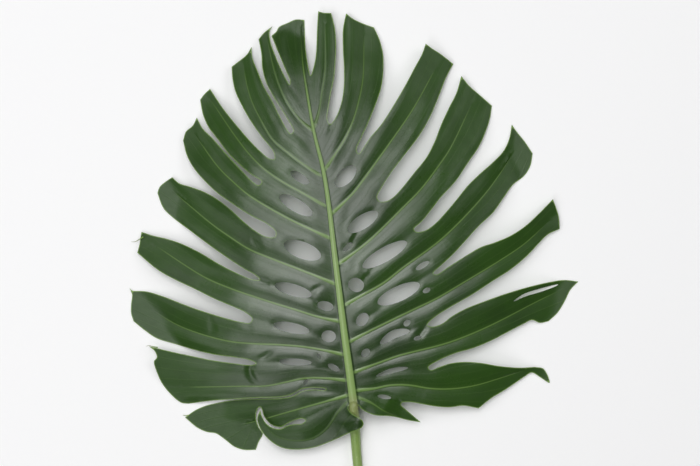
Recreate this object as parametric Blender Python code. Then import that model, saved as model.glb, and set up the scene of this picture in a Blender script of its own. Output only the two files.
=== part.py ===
"""A cut monstera leaf, lying face up: a lobed blade with slits and holes, and its stalk.

The blade is drawn flat, in millimetres from the point where the stalk joins it, +Y towards the
apex and +X to the right as the leaf is seen from above. Height fields then bend the drawing: the
midrib arches, the blade swells between its side veins, and the lobes droop until they touch down.
The origin is at the middle of the bounding box, on the surface that the leaf lies on.
"""
import math

import bmesh
import bpy
import numpy as np
from mathutils.geometry import delaunay_2d_cdt

MM = 0.001

# Blade sizes, in millimetres
THICKNESS = 1.2
MIDRIB_HALF_WIDTH = (4.7, 1.0)
MIDRIB_RISE = (2.4, 0.3)
MIDRIB_DEPTH = (3.6, 0.4)
VEIN_HALF_WIDTH = (1.7, 0.8)
VEIN_RISE = 0.5
VEIN_DEPTH = 1.1
FLOOR_BLEND = 1.6

# The blade swells beside each vein: the rise, the share of the way to the next lobe where it is full,
# the part of it lost again at the edge, and the distance from the midrib over which it grows
SWELL = 4.0
SWELL_FULL = 0.74
SWELL_LOST = 0.35
SWELL_GROWTH = 22.0

# The swelling and the rolled margin are full where the vein lies this far from the next lobe
FULL_SPAN = 24.0

# The margin of a free lobe rolls down from this share of its width on, and waves along the lobe
MARGIN_DROP = 3.2
MARGIN_START = 0.45
WAVE_RUN = 17.0
WAVE_SHIFT = 1.7

# A lobe begins to hang at its slit's end, and no later than this share of its vein
HANG_START = 0.6

# The left basal lobe rises over the stalk: the middle of the rise, its reach and its height
CLOSING_PLACE = (5.0, -15.0)
CLOSING_REACH = 13.0
CLOSING_RISE = 9.6

# How closely the drawing is followed
OUTLINE_TOLERANCE = 0.45
LONGEST_EDGE = 17.0
VEIN_STEP = 17.0
VEIN_ENDS_SHORT = 3.0
ROOT_SHORT = (4.0, 5.0)
FILL_SPACING = 17.0
CLEAR_OF_POINTS = 0.45
CLEAR_OF_EDGES = 0.3
HOLE_SIDES = 12
COLLAR_SIDES = 6
SLIT_SAMPLES = 15
FINE_STEP = 1.0
LINE_STEP = 6.0
SHARP_ANGLE = 50.0

# Lines are carried on this far past their ends, and a lobe with no neighbour has this much room
BEYOND = 80.0
OPEN_SIDE = 40.0

# Height of the midrib above the surface, by the distance towards the apex
ARCH = [(-60, 17), (0, 22), (60, 29), (140, 34), (220, 33), (290, 25), (340, 15), (395, 4)]
SIDE_FALL = 26.0
SIDE_REACH = 200.0

# Stalk sizes, in millimetres
STALK_ROUTE = [(0.7, -0.5, 23.4), (0.7, -2.8, 23.35), (1.2, -12, 18.1), (2.2, -28, 9.7), (3.4, -46, 5.7),
               (5.5, -70, 4.7), (10, -120, 4.55), (13, -180, 4.7), (12, -240, 4.95), (8, -300, 5.45)]
STALK_RADII = [4.1, 4.5, 5.4, 5.2, 4.8, 4.6, 4.6, 4.75, 5.0, 5.5]
STALK_STEP = 7.0
STALK_SIDES = 16
CAP_WELD = 0.05

# Colours
BLADE_GREEN = (0.045, 0.105, 0.035)
STALK_GREEN = (0.30, 0.44, 0.12)

# The lobes, once round the leaf: up the left side from its base, the apex, and down the right side
LOBES = ["L10", "L9", "L8", "L7", "L6", "L5", "L4", "L3", "L2", "L1", "T",
         "R1", "R2", "R3", "R4", "R5", "R6", "R7", "R8", "R9"]

MIDRIB = [(0.7, 0), (-3, 29), (-9, 74), (-14, 115), (-19.5, 160), (-23.5, 195), (-29.5, 234), (-39, 273),
          (-46, 313), (-50.5, 344), (-52.5, 383)]

# The side vein of each lobe, from the midrib outwards
VEINS = {
    "L10": [(-4, 5), (-16, -8), (-25, -22), (-39, -33), (-58, -36), (-78, -31), (-90, -18)],
    "L9": [(-5, 10), (-26, 4), (-49, -2.5), (-72, -9.5), (-91, -15.5), (-115, -22)],
    "L8": [(-7, 25), (-26, 27), (-48, 27), (-67, 23), (-87, 19), (-113, 18.5), (-143, 17.5), (-173, 17)],
    "L7": [(-10, 51), (-28, 55), (-49, 58.5), (-73, 60.5), (-100, 61.5), (-126, 64), (-171, 77), (-203, 94)],
    "L6": [(-13, 84), (-33, 88), (-57, 95.5), (-80, 102.5), (-103, 110), (-126, 118), (-149, 128),
           (-203, 162)],
    "L5": [(-17, 121), (-34, 128), (-57, 137), (-80, 146), (-103, 155.5), (-123, 168), (-143, 182),
           (-185, 217)],
    "L4": [(-22, 166.5), (-42, 175.5), (-65, 186.5), (-103, 209), (-118, 221.5), (-135, 238), (-161, 274)],
    "L3": [(-28, 199), (-49, 211), (-72, 224), (-89, 236), (-103, 250), (-118, 269), (-146, 310)],
    "L2": [(-32.5, 229), (-49, 240), (-65, 252), (-80, 265), (-91, 283), (-101, 303), (-107, 323),
           (-110, 343)],
    "L1": [(-40, 274), (-52, 284), (-63, 298), (-72, 315), (-79, 335), (-87, 371)],
    "T": [(-43, 295), (-46, 313), (-50.5, 344), (-52.5, 383)],
    "R1": [(-38.5, 278), (-34, 293), (-31, 313), (-28, 335), (-28, 385)],
    "R2": [(-28, 235), (-18, 250), (-8, 266), (0, 284), (6, 305), (10, 327), (11, 373)],
    "R3": [(-21, 191.5), (-11, 200.5), (0, 211.5), (10, 224.5), (34, 258), (60, 296), (85, 341)],
    "R4": [(-13.5, 142), (0, 151.5), (17, 165), (51, 198.5), (68, 216), (84, 237), (97, 256), (121, 305)],
    "R5": [(-7, 101), (10, 110.5), (30, 122), (50, 137.5), (89, 166.5), (128, 206), (146, 229), (164, 257)],
    "R6": [(-3, 64), (17, 74.5), (60, 95.5), (83, 106.5), (107, 120.5), (151, 147), (173, 162), (199, 186)],
    "R7": [(1, 33), (7, 35.5), (27, 43), (47, 50), (87, 60), (107, 66.5), (137, 79), (187, 104), (213, 116)],
    "R8": [(4, 15), (20, 16.5), (38, 20), (56, 20), (77, 16.5), (99, 16), (122, 19), (147, 26), (174, 34.5)],
    "R9": [(4.5, 8), (18, 2.5), (31, -6), (47, -13)],
}

# The notch at the stalk: the left basal lobe closes over it, the right one stays short
SINUS_LEFT = [(-4, 0), (-4.8, -3), (-2, -7.5), (4, -11), (9, -14.5), (10.5, -18.5), (8, -22.5), (-3, -27.5),
              (-21, -36), (-40, -43), (-60, -45), (-72, -43), (-83.5, -36), (-92, -26), (-96, -15), (-93, -5)]
SINUS_RIGHT = [(68, -18), (56, -16), (38, -11.5), (22, -10), (13, -6.5), (8, -3), (5.4, 0)]
SINUS_MIDDLE = [(34, -90), (22, -40), (15, -16), (8, -8.5), (3, -3.5)]

# The slit between two neighbouring lobes: in along the first lobe's edge, round its end, and out
SLITS = {
    "L10_L9": [(-93, -5), (-91, -12.5), (-87, -19), (-81, -23.2), (-73, -24.4), (-65, -20.7), (-57, -19.3),
               (-51, -18.6), (-47.5, -15.3), (-51, -13.5), (-57, -15), (-63, -17.4), (-72.5, -22.6),
               (-80, -21.5), (-85.5, -17.6), (-89.4, -12), (-91.4, -5), (-93.2, -2.7), (-95.7, -4.2),
               (-97.8, -13), (-95.2, -23.5), (-91, -30.5), (-95, -38.5), (-98, -46.5)],
    "L9_L8": [(-169, -14), (-159.5, -7), (-148, -2), (-133, 1.5), (-118, 4), (-95, 5.5), (-72, 6.6), (-60, 9),
              (-50, 14.3), (-38, 15.6), (-28, 14.9), (-27, 16.2), (-38, 17.5), (-51, 16.2), (-62, 10.4),
              (-72, 8), (-95, 7), (-118, 5.4), (-141, 3.6), (-166, 0)],
    "L8_L7": [(-205, 58), (-196, 56), (-183, 53), (-166, 49.5), (-141, 44.5), (-118, 41.5), (-103, 40),
              (-97, 41.5), (-103, 45), (-117, 47.5), (-138, 50), (-159.5, 54.5), (-179, 60), (-198, 66),
              (-210, 74), (-221, 83)],
    "L7_L6": [(-224, 113.5), (-208.5, 113), (-192, 108.5), (-172, 101), (-150, 93.5), (-126, 86.5),
              (-111, 83), (-103, 82.5), (-100.5, 86.5), (-107, 92.5), (-116, 97), (-138, 106),
              (-159.5, 116.5), (-179, 125.5), (-196, 135), (-217, 152)],
    "L6_L5": [(-213, 173), (-202, 169.5), (-187, 166), (-172, 161), (-153, 152), (-134, 141), (-115, 131.5),
              (-101, 126), (-93, 125.5), (-98, 130.5), (-108, 136), (-126, 147.5), (-147, 162), (-166, 176),
              (-181, 187), (-191, 197), (-197, 212)],
    "L5_L4": [(-182, 228), (-175, 222), (-164, 218.5), (-149, 213), (-135, 205), (-122, 195), (-110, 184),
              (-98, 174.5), (-87, 168.5), (-78, 168), (-77, 173), (-85, 180.5), (-103, 190), (-120, 201),
              (-135, 211.5), (-147, 222.5), (-159, 236), (-167, 250), (-171, 265)],
    "L4_L3": [(-157, 288), (-151, 277), (-141, 267), (-126, 250), (-111, 234), (-101, 224), (-94, 219.5),
              (-91, 223), (-101, 230), (-114, 241), (-126, 253), (-134, 264), (-145, 278), (-151, 291),
              (-154, 306)],
    "L3_L2": [(-144, 317), (-138, 308), (-129, 295), (-116, 279), (-103, 264), (-92, 253), (-84, 246.5),
              (-78.5, 245.5), (-79, 252), (-92, 269), (-103, 285), (-111, 299), (-118, 314), (-121, 327),
              (-122, 339)],
    "L2_L1": [(-102, 359), (-101, 348), (-96, 335), (-89, 318), (-81, 304), (-73, 288), (-67, 277),
              (-62, 271), (-59.5, 273.5), (-64, 283), (-72, 296), (-80, 309), (-87, 323), (-91, 338),
              (-92, 352), (-95, 367)],
    "L1_T": [(-81, 380), (-84, 374.5), (-83, 364), (-78, 350), (-72, 336), (-67, 326), (-63.5, 320.5),
             (-63, 324), (-66.5, 333), (-72, 346), (-77.5, 359.5), (-82, 370.5)],
    "T_R1": [(-49, 386.5), (-48.5, 375), (-48, 362), (-46.5, 348), (-44.5, 337), (-42.5, 329.5), (-40, 336),
             (-37.5, 348), (-36.5, 362), (-36, 378), (-35, 395)],
    "R1_R2": [(-22, 393), (-18.5, 379), (-17, 362), (-17.5, 345), (-19, 327), (-22, 312), (-24.5, 297),
              (-25.5, 285), (-23, 280.5), (-18, 286), (-12.5, 299), (-9.5, 315), (-9, 335), (-10, 357),
              (-10, 377), (-7, 393)],
    "R2_R3": [(21, 379), (26.5, 367), (30, 353), (30.5, 337), (28.5, 319), (23.5, 303), (16, 284), (8, 266),
              (3.5, 255), (5.5, 251), (11, 258), (17, 267), (28, 280), (42, 302), (53, 321), (62, 338),
              (69, 351), (73, 362)],
    "R3_R4": [(101, 342), (97, 335), (93, 327), (89.5, 318), (84, 304), (77, 288), (66, 269), (50, 248),
              (38, 232), (29, 218), (24, 207.5), (26.5, 203.5), (33, 203.5), (40, 207.5), (49, 217),
              (61, 232), (73, 247), (81, 262), (88, 280), (96, 297), (104, 313), (109, 330)],
    "R4_R5": [(140, 300), (138, 288), (133, 273), (126, 258), (115, 242), (102, 223), (88, 208), (77, 194),
              (68, 183), (60.5, 176), (63, 173), (72, 174.5), (81, 180.5), (93, 193), (104, 206),
              (115, 219.5), (128, 232), (141, 243.5), (151, 254), (157, 266), (160, 281)],
    "R5_R6": [(181, 252), (178.5, 239), (172, 229), (161, 220.5), (151, 207), (140, 192), (126, 179),
              (113, 165), (99, 150), (87, 139), (80, 132), (83, 130.5), (95, 138), (110, 147.5),
              (127, 157.5), (143, 163), (158, 169.5), (172, 178.5), (186, 191), (201, 206)],
    "R6_R7": [(208, 176), (196, 170.5), (187, 162), (174, 148.5), (158, 135.5), (139, 123.5), (119, 110.5),
              (97, 98), (80, 87), (74, 80.5), (79, 78.5), (89, 81.5), (99, 89), (113, 96.5), (131, 103.5),
              (151, 110.5), (173, 117), (195, 122), (213, 124.5), (227, 123)],
    "R7_R8": [(197, 83), (188, 81.5), (180, 84.5), (171, 80.5), (154, 72), (137, 63.5), (119, 56.5),
              (101, 51.5), (85, 44.5), (75, 38), (77.5, 35), (86, 38), (97, 41.5), (111, 43), (127, 42),
              (147, 38.5), (167, 36.5), (183, 37)],
    "R8_R9": [(126, -4), (110, -1), (97, -2.5), (83, -1.5), (69, 1), (57, 3), (49, 2.5), (48, 0), (53, -5),
              (60, -11), (68, -18)],
}

# The hooked end of the left basal lobe lies in a notch of the next lobe: the middle of that narrow slit
HOOK_SLIT = [(-47.5, -15.5), (-57, -17), (-65, -19.5), (-73, -23.5), (-80.5, -22.3), (-86.2, -18.3),
             (-90.2, -12.2), (-92.2, -5), (-93.3, -3.6), (-95, -5), (-96.8, -10), (-97, -15), (-93.8, -24.5),
             (-88, -33), (-84, -41), (-84, -46)]

# The blunt end of each lobe, on from the slit before it to the slit after it
TIPS = {
    "L9": [(-98, -46.5), (-110, -46.5), (-120, -43), (-129, -36), (-138, -30), (-147, -28.5), (-157, -24),
           (-169, -14)],
    "L8": [(-166, 0), (-173, 1), (-182.5, 8.5), (-192, 20), (-198, 34), (-200, 43), (-197, 47), (-199, 53),
           (-205, 58)],
    "L7": [(-221, 83), (-223.5, 91), (-223.5, 100), (-222.5, 110), (-224, 113.5)],
    "L6": [(-217, 152), (-215, 160), (-214, 167), (-213, 173)],
    "L5": [(-197, 212), (-195, 218), (-189, 223.5), (-182, 228)],
    "L4": [(-171, 265), (-168, 274), (-161, 280), (-157, 288)],
    "L3": [(-154, 306), (-150, 311.5), (-144, 317)],
    "L2": [(-122, 339), (-115, 344.5), (-107, 351), (-102, 359)],
    "L1": [(-95, 367), (-89, 374), (-81, 380)],
    "T": [(-82, 370.5), (-77.5, 374.5), (-74.5, 379.5), (-66, 383.5), (-57.5, 387), (-49, 386.5)],
    "R1": [(-35, 395), (-30, 393.5), (-22, 393)],
    "R2": [(-7, 393), (0, 387.5), (11, 382.5), (21, 379)],
    "R3": [(73, 362), (79, 357.5), (88, 352), (101, 342)],
    "R4": [(109, 330), (117, 320), (127, 311.5), (140, 300)],
    "R5": [(160, 281), (165, 274), (173, 264), (181, 252)],
    "R6": [(201, 206), (204, 198), (207, 189), (208, 176)],
    "R7": [(227, 123), (219, 114.5), (213.5, 103.5), (206, 91.5), (197, 83)],
    "R8": [(183, 37), (192, 35), (198, 21), (188, 27), (180, 31.5), (172, 27), (154, 15), (138, 5.5),
           (126, -4)],
}

# Each hole: the slit or lobe that it belongs to, its width, and its long axis
HOLES = [
    ("L3_L2", 8.5, [(-62, 233), (-44, 221)]),
    ("L4_L3", 13, [(-73, 209), (-40.5, 190)]),
    ("L5_L4", 17, [(-68.5, 161.5), (-32, 148)]),
    ("L6_L5", 12, [(-78, 120.5), (-41, 110)]),
    ("L6_L5", 9.5, [(-35.5, 101), (-19.5, 97.5)]),
    ("L7_L6", 10.5, [(-79.5, 81), (-43.5, 74)]),
    ("L7_L6", 12, [(-31.5, 69.5), (-17, 68.5)]),
    ("L8_L7", 7, [(-74, 44), (-41, 42.5)]),
    ("L8_L7", 6, [(-25, 41), (-13.5, 34.5)]),
    ("L7", 3.6, [(-35, 51.5), (-32, 46.5)]),
    ("L8", 3.6, [(-49, 20.5), (-45.5, 25.5)]),
    ("R2_R3", 14.5, [(-17, 218.5), (2, 238)]),
    ("R3_R4", 14, [(-5, 173.5), (24.5, 192.5)]),
    ("R3_R4", 5, [(-9.5, 154.5), (-1, 162)]),
    ("R4_R5", 14.5, [(9.5, 138), (53.5, 163)]),
    ("R4_R5", 14, [(-4.5, 123), (10.5, 117.5)]),
    ("R5", 5.5, [(62.5, 135.5), (76, 143.5)]),
    ("R5_R6", 15.5, [(24.5, 102), (66.5, 121)]),
    ("R5_R6", 11, [(4.5, 80), (14, 91.5)]),
    ("R6", 5, [(69.5, 113), (77, 116.5)]),
    ("R6_R7", 8.5, [(27, 61.5), (41, 71), (56.5, 74.5)]),
    ("R6_R7", 7.5, [(9, 49), (16, 56)]),
    ("R6", 6, [(51, 79.5), (56.5, 85)]),
    ("R7", 4.2, [(60.5, 66), (68, 68.5)]),
    ("R7_R8", 5, [(23, 29), (37, 34), (55, 37.5)]),
    ("R8_R9", 4.4, [(24.5, 9.5), (38, 7)]),
    ("R7", 3.4, [(161, 103.5), (172, 109.5), (187, 114), (207, 120)]),
]

# How each lobe hangs: the height of its end (below 0 it is pressed flat on the surface), how far its
# apex side stands above its base side there, and the rise and fall of its waves
HANG = {
    "L10": (13, 4, 0), "L9": (-3, 4, 1.5), "L8": (4, 5, 1.5), "L7": (-3, 6, 2), "L6": (4, -5, 2),
    "L5": (-3, 6, 2), "L4": (5, 5, 1.5), "L3": (1, 4, 1.5), "L2": (6, 4, 1), "L1": (3, 3, 1),
    "T": (-3, 2, 1), "R1": (6, -3, 1), "R2": (2, 4, 1), "R3": (8, 5, 1.5), "R4": (3, 5, 2),
    "R5": (-3, 6, 2), "R6": (5, 5, 2), "R7": (-3, 6, 2), "R8": (4, 4, 2), "R9": (12, 3, 0),
}


def spline(points, step):
    """A smooth line through the points, with a point about every step."""
    knots = [np.array(p, float) for p in points]
    knots = [2 * knots[0] - knots[1]] + knots + [2 * knots[-1] - knots[-2]]
    line = []
    for before, start, end, after in zip(knots, knots[1:], knots[2:], knots[3:]):
        times = np.cumsum([0.0] + [math.sqrt(math.dist(a, b)) for a, b in
                                   ((before, start), (start, end), (end, after))])
        count = max(1, math.ceil(math.dist(start, end) / step))
        for t in np.linspace(times[1], times[2], count, endpoint=False):
            low = [a + (b - a) * (t - u) / (v - u) for a, b, u, v in
                   zip((before, start, end), (start, end, after), times, times[1:])]
            mid = [a + (b - a) * (t - u) / (v - u) for a, b, u, v in
                   zip(low, low[1:], times, times[2:])]
            line.append(mid[0] + (mid[1] - mid[0]) * (t - times[1]) / (times[2] - times[1]))
    line.append(knots[-2])
    return np.array(line)


def thinned(line, tolerance, longest):
    """The fewest of the line's points that stay within the tolerance of it, none too far apart."""
    if len(line) < 3:
        return [tuple(p) for p in line]
    start, end = line[0], line[-1]
    run = end - start
    length = math.hypot(*run)
    if length < 1e-9:
        away = np.hypot(*(line - start).T)
    else:
        away = np.abs(run[0] * (line[:, 1] - start[1]) - run[1] * (line[:, 0] - start[0])) / length
    split = int(away.argmax())
    if away[split] <= tolerance:
        if length <= longest:
            return [tuple(start), tuple(end)]
        split = len(line) // 2
    first = thinned(line[:split + 1], tolerance, longest)
    return first[:-1] + thinned(line[split:], tolerance, longest)


def measured(points, line):
    """How far each point lies from a line, on which side (+1 is its left) and how far along."""
    runs = np.diff(line, axis=0)
    lengths = np.hypot(*runs.T)
    runs /= lengths[:, None]
    corners = np.vstack([runs[:1], runs[:-1] + runs[1:], runs[-1:]])
    nearest = np.full(len(points), np.inf)
    side = np.zeros(len(points))
    along = np.zeros(len(points))
    walked = 0.0
    for index, (start, run, length) in enumerate(zip(line, runs, lengths)):
        offset = points - start
        part = np.clip(offset @ run, 0, length)
        away = offset - part[:, None] * run
        distance = np.hypot(*away.T)
        closer = distance < nearest
        ahead = np.where((part == 0)[:, None], corners[index], run)
        ahead = np.where((part == length)[:, None], corners[index + 1], ahead)
        turn = np.sign(ahead[:, 0] * away[:, 1] - ahead[:, 1] * away[:, 0])
        nearest = np.where(closer, distance, nearest)
        side = np.where(closer, turn, side)
        along = np.where(closer, walked + part, along)
        walked += length
    return nearest, side, along


def inside(points, loop):
    """Which points lie inside a closed loop."""
    found = np.zeros(len(points), bool)
    for (x0, y0), (x1, y1) in zip(loop, np.roll(loop, -1, axis=0)):
        if y0 == y1:
            continue
        crosses = (points[:, 1] < y0) != (points[:, 1] < y1)
        reach = x0 + (points[:, 1] - y0) * (x1 - x0) / (y1 - y0)
        found ^= crosses & (points[:, 0] < reach)
    return found


def ramp(value):
    """A smooth step from 0 to 1."""
    value = np.clip(value, 0, 1)
    return value * value * (3 - 2 * value)


def extended(line, length):
    """The line with its last stretch carried on."""
    last = line[-1] - line[-2]
    return np.vstack([line, line[-1] + last / math.hypot(*last) * length])


MIDRIB_LINE = spline(MIDRIB, LINE_STEP)
MIDRIB_LENGTH = measured(MIDRIB_LINE[-1:], MIDRIB_LINE)[2][0]
VEIN_LINES = {lobe: spline(points, LINE_STEP) for lobe, points in VEINS.items()}
VEIN_LENGTHS = {lobe: measured(line[-1:], line)[2][0] for lobe, line in VEIN_LINES.items()}


def hole_loop(width, axis, sides):
    """A long oval round its axis."""
    line = spline(axis, FINE_STEP)
    lengths = np.concatenate([[0], np.cumsum(np.hypot(*np.diff(line, axis=0).T))])
    loop = []
    for turn in np.arange(sides) * 2 * math.pi / sides:
        place = (1 - math.cos(turn)) / 2 * lengths[-1]
        centre = np.array([np.interp(place, lengths, line[:, k]) for k in (0, 1)])
        ahead = np.array([np.interp(place + 1, lengths, line[:, k]) for k in (0, 1)])
        behind = np.array([np.interp(place - 1, lengths, line[:, k]) for k in (0, 1)])
        run = (ahead - behind) / math.hypot(*(ahead - behind))
        loop.append(centre + np.array([-run[1], run[0]]) * width / 2 * math.sin(turn))
    return np.array(loop)


def outline_loop():
    """The whole edge of the blade, once round, clockwise as seen from above."""
    runs = [SINUS_LEFT]
    for lobe, following in zip(LOBES, LOBES[1:]):
        runs.append(SLITS[f"{lobe}_{following}"])
        if following in TIPS:
            runs.append(TIPS[following])
    runs.append(SINUS_RIGHT)
    edge = []
    for run in runs:
        edge += thinned(spline(run, FINE_STEP), OUTLINE_TOLERANCE, LONGEST_EDGE)[:-1]
    collar = np.linspace(SINUS_RIGHT[-1], SINUS_LEFT[0], COLLAR_SIDES, endpoint=False)
    return np.vstack([edge, collar])


def dividing_line(lobe, following):
    """The line between two lobes: from the midrib through the holes and along the slit's middle.

    The slit's inner end is given too.
    """
    root = (np.array(VEINS[lobe][0]) + np.array(VEINS[following][0])) / 2
    if lobe == "L10":
        slit = np.array(HOOK_SLIT)
    else:
        run = spline(SLITS[f"{lobe}_{following}"], FINE_STEP)
        turn = int(np.hypot(*(run - root).T).argmin())
        near = run[turn::-1]
        near = near[np.linspace(0, len(near) - 1, SLIT_SAMPLES).round().astype(int)]
        facing = [int(np.hypot(*(run[turn:] - point).T).argmin()) for point in near]
        slit = (near + run[turn:][facing]) / 2
    centres = [np.mean(axis, axis=0) for owner, _, axis in HOLES if owner == f"{lobe}_{following}"]
    centres.sort(key=lambda centre: math.dist(centre, root))
    return extended(np.vstack([root, *centres, slit]), BEYOND), slit[0]


DIVIDERS, SLIT_ENDS = zip(*[dividing_line(lobe, following) for lobe, following in zip(LOBES, LOBES[1:])])
APEX = LOBES.index("T")


def lobe_of(points):
    """Which lobe each point belongs to, and how far it lies from every dividing line."""
    seam = np.vstack([SINUS_MIDDLE, extended(MIDRIB_LINE, BEYOND)])
    midrib_side = measured(points, seam)[1]
    owner = np.full(len(points), APEX)
    gaps = []
    for index, divider in enumerate(DIVIDERS):
        distance, side, _ = measured(points, divider)
        gaps.append(distance)
        if index < APEX:
            owner = np.where((midrib_side > 0) & (side > 0) & (owner == APEX), index, owner)
    for index in reversed(range(APEX, len(DIVIDERS))):
        side = measured(points, DIVIDERS[index])[1]
        owner = np.where((midrib_side <= 0) & (side < 0) & (owner == APEX), index + 1, owner)
    return owner, np.array(gaps)


def blade_fields(points):
    """The blade's own coordinates at each point: its lobe, across it, along it, and its veins."""
    owner, gaps = lobe_of(points)
    middle, _, up = measured(points, MIDRIB_LINE)
    across = np.zeros(len(points))
    along = np.zeros(len(points))
    vein = np.zeros(len(points))
    span = np.zeros(len(points))
    for index, lobe in enumerate(LOBES):
        mine = owner == index
        if not mine.any():
            continue
        distance, side, walked = measured(points[mine], extended(VEIN_LINES[lobe], BEYOND))
        before = gaps[index - 1][mine] if index > 0 else OPEN_SIDE
        after = gaps[index][mine] if index < len(DIVIDERS) else OPEN_SIDE
        gap = np.where(side > 0, before, after)
        span[mine] = distance + gap
        across[mine] = distance / span[mine] * (-side if index < APEX else side)
        along[mine] = walked
        vein[mine] = distance
    return {"owner": owner, "across": across, "span": span, "along": along, "vein": vein,
            "middle": middle, "up": up}


def slit_start(index):
    """How far along its vein a lobe comes free of both its neighbours and begins to hang."""
    ends = np.array(SLIT_ENDS[max(index - 1, 0):index + 1])
    start = measured(ends, VEIN_LINES[LOBES[index]])[2].max()
    return min(start, HANG_START * VEIN_LENGTHS[LOBES[index]])


def dome(points, fields):
    """The height of the blade before its lobes hang: arched along the midrib, falling to the sides."""
    arch = spline(ARCH, LINE_STEP)
    height = np.interp(points[:, 1], arch[:, 0], arch[:, 1])
    return height - SIDE_FALL * (fields["middle"] / SIDE_REACH) ** 2


def middle_heights(points, fields):
    """The height of the blade's middle surface."""
    height = dome(points, fields)
    share = np.abs(fields["across"])
    swell = np.sin(math.pi / 2 * np.minimum(share / SWELL_FULL, 1)) * (1 - SWELL_LOST * share)
    wide = np.minimum(fields["span"] / FULL_SPAN, 1)
    height += SWELL * wide * ramp(fields["middle"] / SWELL_GROWTH) * swell
    for index, lobe in enumerate(LOBES):
        mine = fields["owner"] == index
        if not mine.any():
            continue
        end_height, lean, wave = HANG[lobe]
        start = slit_start(index)
        length = VEIN_LENGTHS[lobe]
        free = ramp((fields["along"][mine] - start) / (length - start))
        tip = VEIN_LINES[lobe][-1:]
        tip_height = dome(tip, {"middle": measured(tip, MIDRIB_LINE)[0]})[0]
        drop = (end_height - tip_height) * free
        side = fields["across"][mine]
        waves = wave * np.sin(fields["along"][mine] / WAVE_RUN + index * WAVE_SHIFT) * side
        rolled = MARGIN_DROP * ramp((np.abs(side) - MARGIN_START) / (1 - MARGIN_START))
        height[mine] += drop + free * wide[mine] * (lean * side + waves - rolled)
    away = np.hypot(*(points - CLOSING_PLACE).T)
    return height + CLOSING_RISE * np.exp(-(away / CLOSING_REACH) ** 2)


def grounded(height):
    """Heights eased to 0 where the blade would sink below the surface."""
    eased = (height + FLOOR_BLEND) ** 2 / (4 * FLOOR_BLEND)
    return np.where(height > FLOOR_BLEND, height, np.where(height < -FLOOR_BLEND, 0.0, eased))


def relief(fields, midrib_size, vein_size):
    """How far the midrib and the side veins stand out of the blade on one face."""
    part = fields["up"] / MIDRIB_LENGTH
    half = MIDRIB_HALF_WIDTH[0] + (MIDRIB_HALF_WIDTH[1] - MIDRIB_HALF_WIDTH[0]) * part
    size = midrib_size[0] + (midrib_size[1] - midrib_size[0]) * part
    middle = size * np.sqrt(np.clip(1 - (fields["middle"] / half) ** 2, 0, 1))
    lengths = np.array([VEIN_LENGTHS[lobe] for lobe in LOBES])[fields["owner"]]
    part = np.clip(fields["along"] / lengths, 0, 1)
    half = VEIN_HALF_WIDTH[0] + (VEIN_HALF_WIDTH[1] - VEIN_HALF_WIDTH[0]) * part
    side = vein_size * (1 - part) * np.clip(1 - (fields["vein"] / half) ** 2, 0, 1)
    return np.maximum(middle, side)


def vein_rows(line, half_widths, step, start):
    """Points along a vein's crest and both its feet."""
    length = measured(line[-1:], line)[2][0]
    lengths = np.concatenate([[0], np.cumsum(np.hypot(*np.diff(line, axis=0).T))])
    rows = [[], [], []]
    for place in np.linspace(start, length - VEIN_ENDS_SHORT, max(2, round((length - start) / step))):
        here = np.array([np.interp(place, lengths, line[:, k]) for k in (0, 1)])
        run = np.array([np.interp(place + 1, lengths, line[:, k]) for k in (0, 1)])
        run -= np.array([np.interp(place - 1, lengths, line[:, k]) for k in (0, 1)])
        run /= math.hypot(*run)
        across = np.array([-run[1], run[0]])
        half = half_widths[0] + (half_widths[1] - half_widths[0]) * place / length
        for row, shift in zip(rows, (-half, 0.0, half)):
            row.append(here + across * shift)
    return rows


def sheet():
    """The flat drawing cut into triangles: points and triangles, clear of the holes."""
    edge = outline_loop()
    loops = [edge] + [hole_loop(width, axis, HOLE_SIDES) for _, width, axis in HOLES]
    points = []
    links = []
    for loop in loops:
        first = len(points)
        points += list(loop)
        links += [(first + k, first + (k + 1) % len(loop)) for k in range(len(loop))]
    rows = vein_rows(MIDRIB_LINE, MIDRIB_HALF_WIDTH, VEIN_STEP, ROOT_SHORT[0])
    for lobe in LOBES:
        if lobe != "T":
            rows += vein_rows(VEIN_LINES[lobe], VEIN_HALF_WIDTH, VEIN_STEP, ROOT_SHORT[1])
    for row in rows:
        kept = [p for p in row if inside(np.array([p]), edge)[0]]
        first = len(points)
        points += kept
        links += [(first + k, first + k + 1) for k in range(len(kept) - 1)]
    low, high = edge.min(axis=0), edge.max(axis=0)
    lines = np.arange(low[1], high[1], FILL_SPACING * math.sqrt(3) / 2)
    grid = np.array([(x + FILL_SPACING / 2 * (k % 2), y) for k, y in enumerate(lines)
                     for x in np.arange(low[0], high[0], FILL_SPACING)])
    grid = grid[inside(grid, edge)]
    taken = np.array(points)
    clear = np.array([np.hypot(*(taken - p).T).min() > CLEAR_OF_POINTS * FILL_SPACING for p in grid])
    for loop in loops:
        clear &= measured(grid, np.vstack([loop, loop[:1]]))[0] > CLEAR_OF_EDGES * FILL_SPACING
    points += list(grid[clear])
    found, _, faces, *_ = delaunay_2d_cdt([tuple(p) for p in points], links, [], 0, 1e-4)
    found = np.array([tuple(v) for v in found])
    faces = np.array(faces)
    centres = found[faces].mean(axis=1)
    kept = inside(centres, edge)
    for loop in loops[1:]:
        kept &= ~inside(centres, loop)
    return found, faces[kept]


def material(name, colour, roughness):
    """A plain surface colour."""
    made = bpy.data.materials.new(name)
    made.use_nodes = True
    surface = made.node_tree.nodes["Principled BSDF"]
    surface.inputs["Base Color"].default_value = (*colour, 1.0)
    surface.inputs["Roughness"].default_value = roughness
    surface.inputs["Metallic"].default_value = 0.0
    return made


def smooth(mesh):
    """Round surfaces shaded smooth, with the cut edges kept crisp."""
    mesh.shade_smooth()
    mesh.set_sharp_from_angle(angle=math.radians(SHARP_ANGLE))


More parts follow.
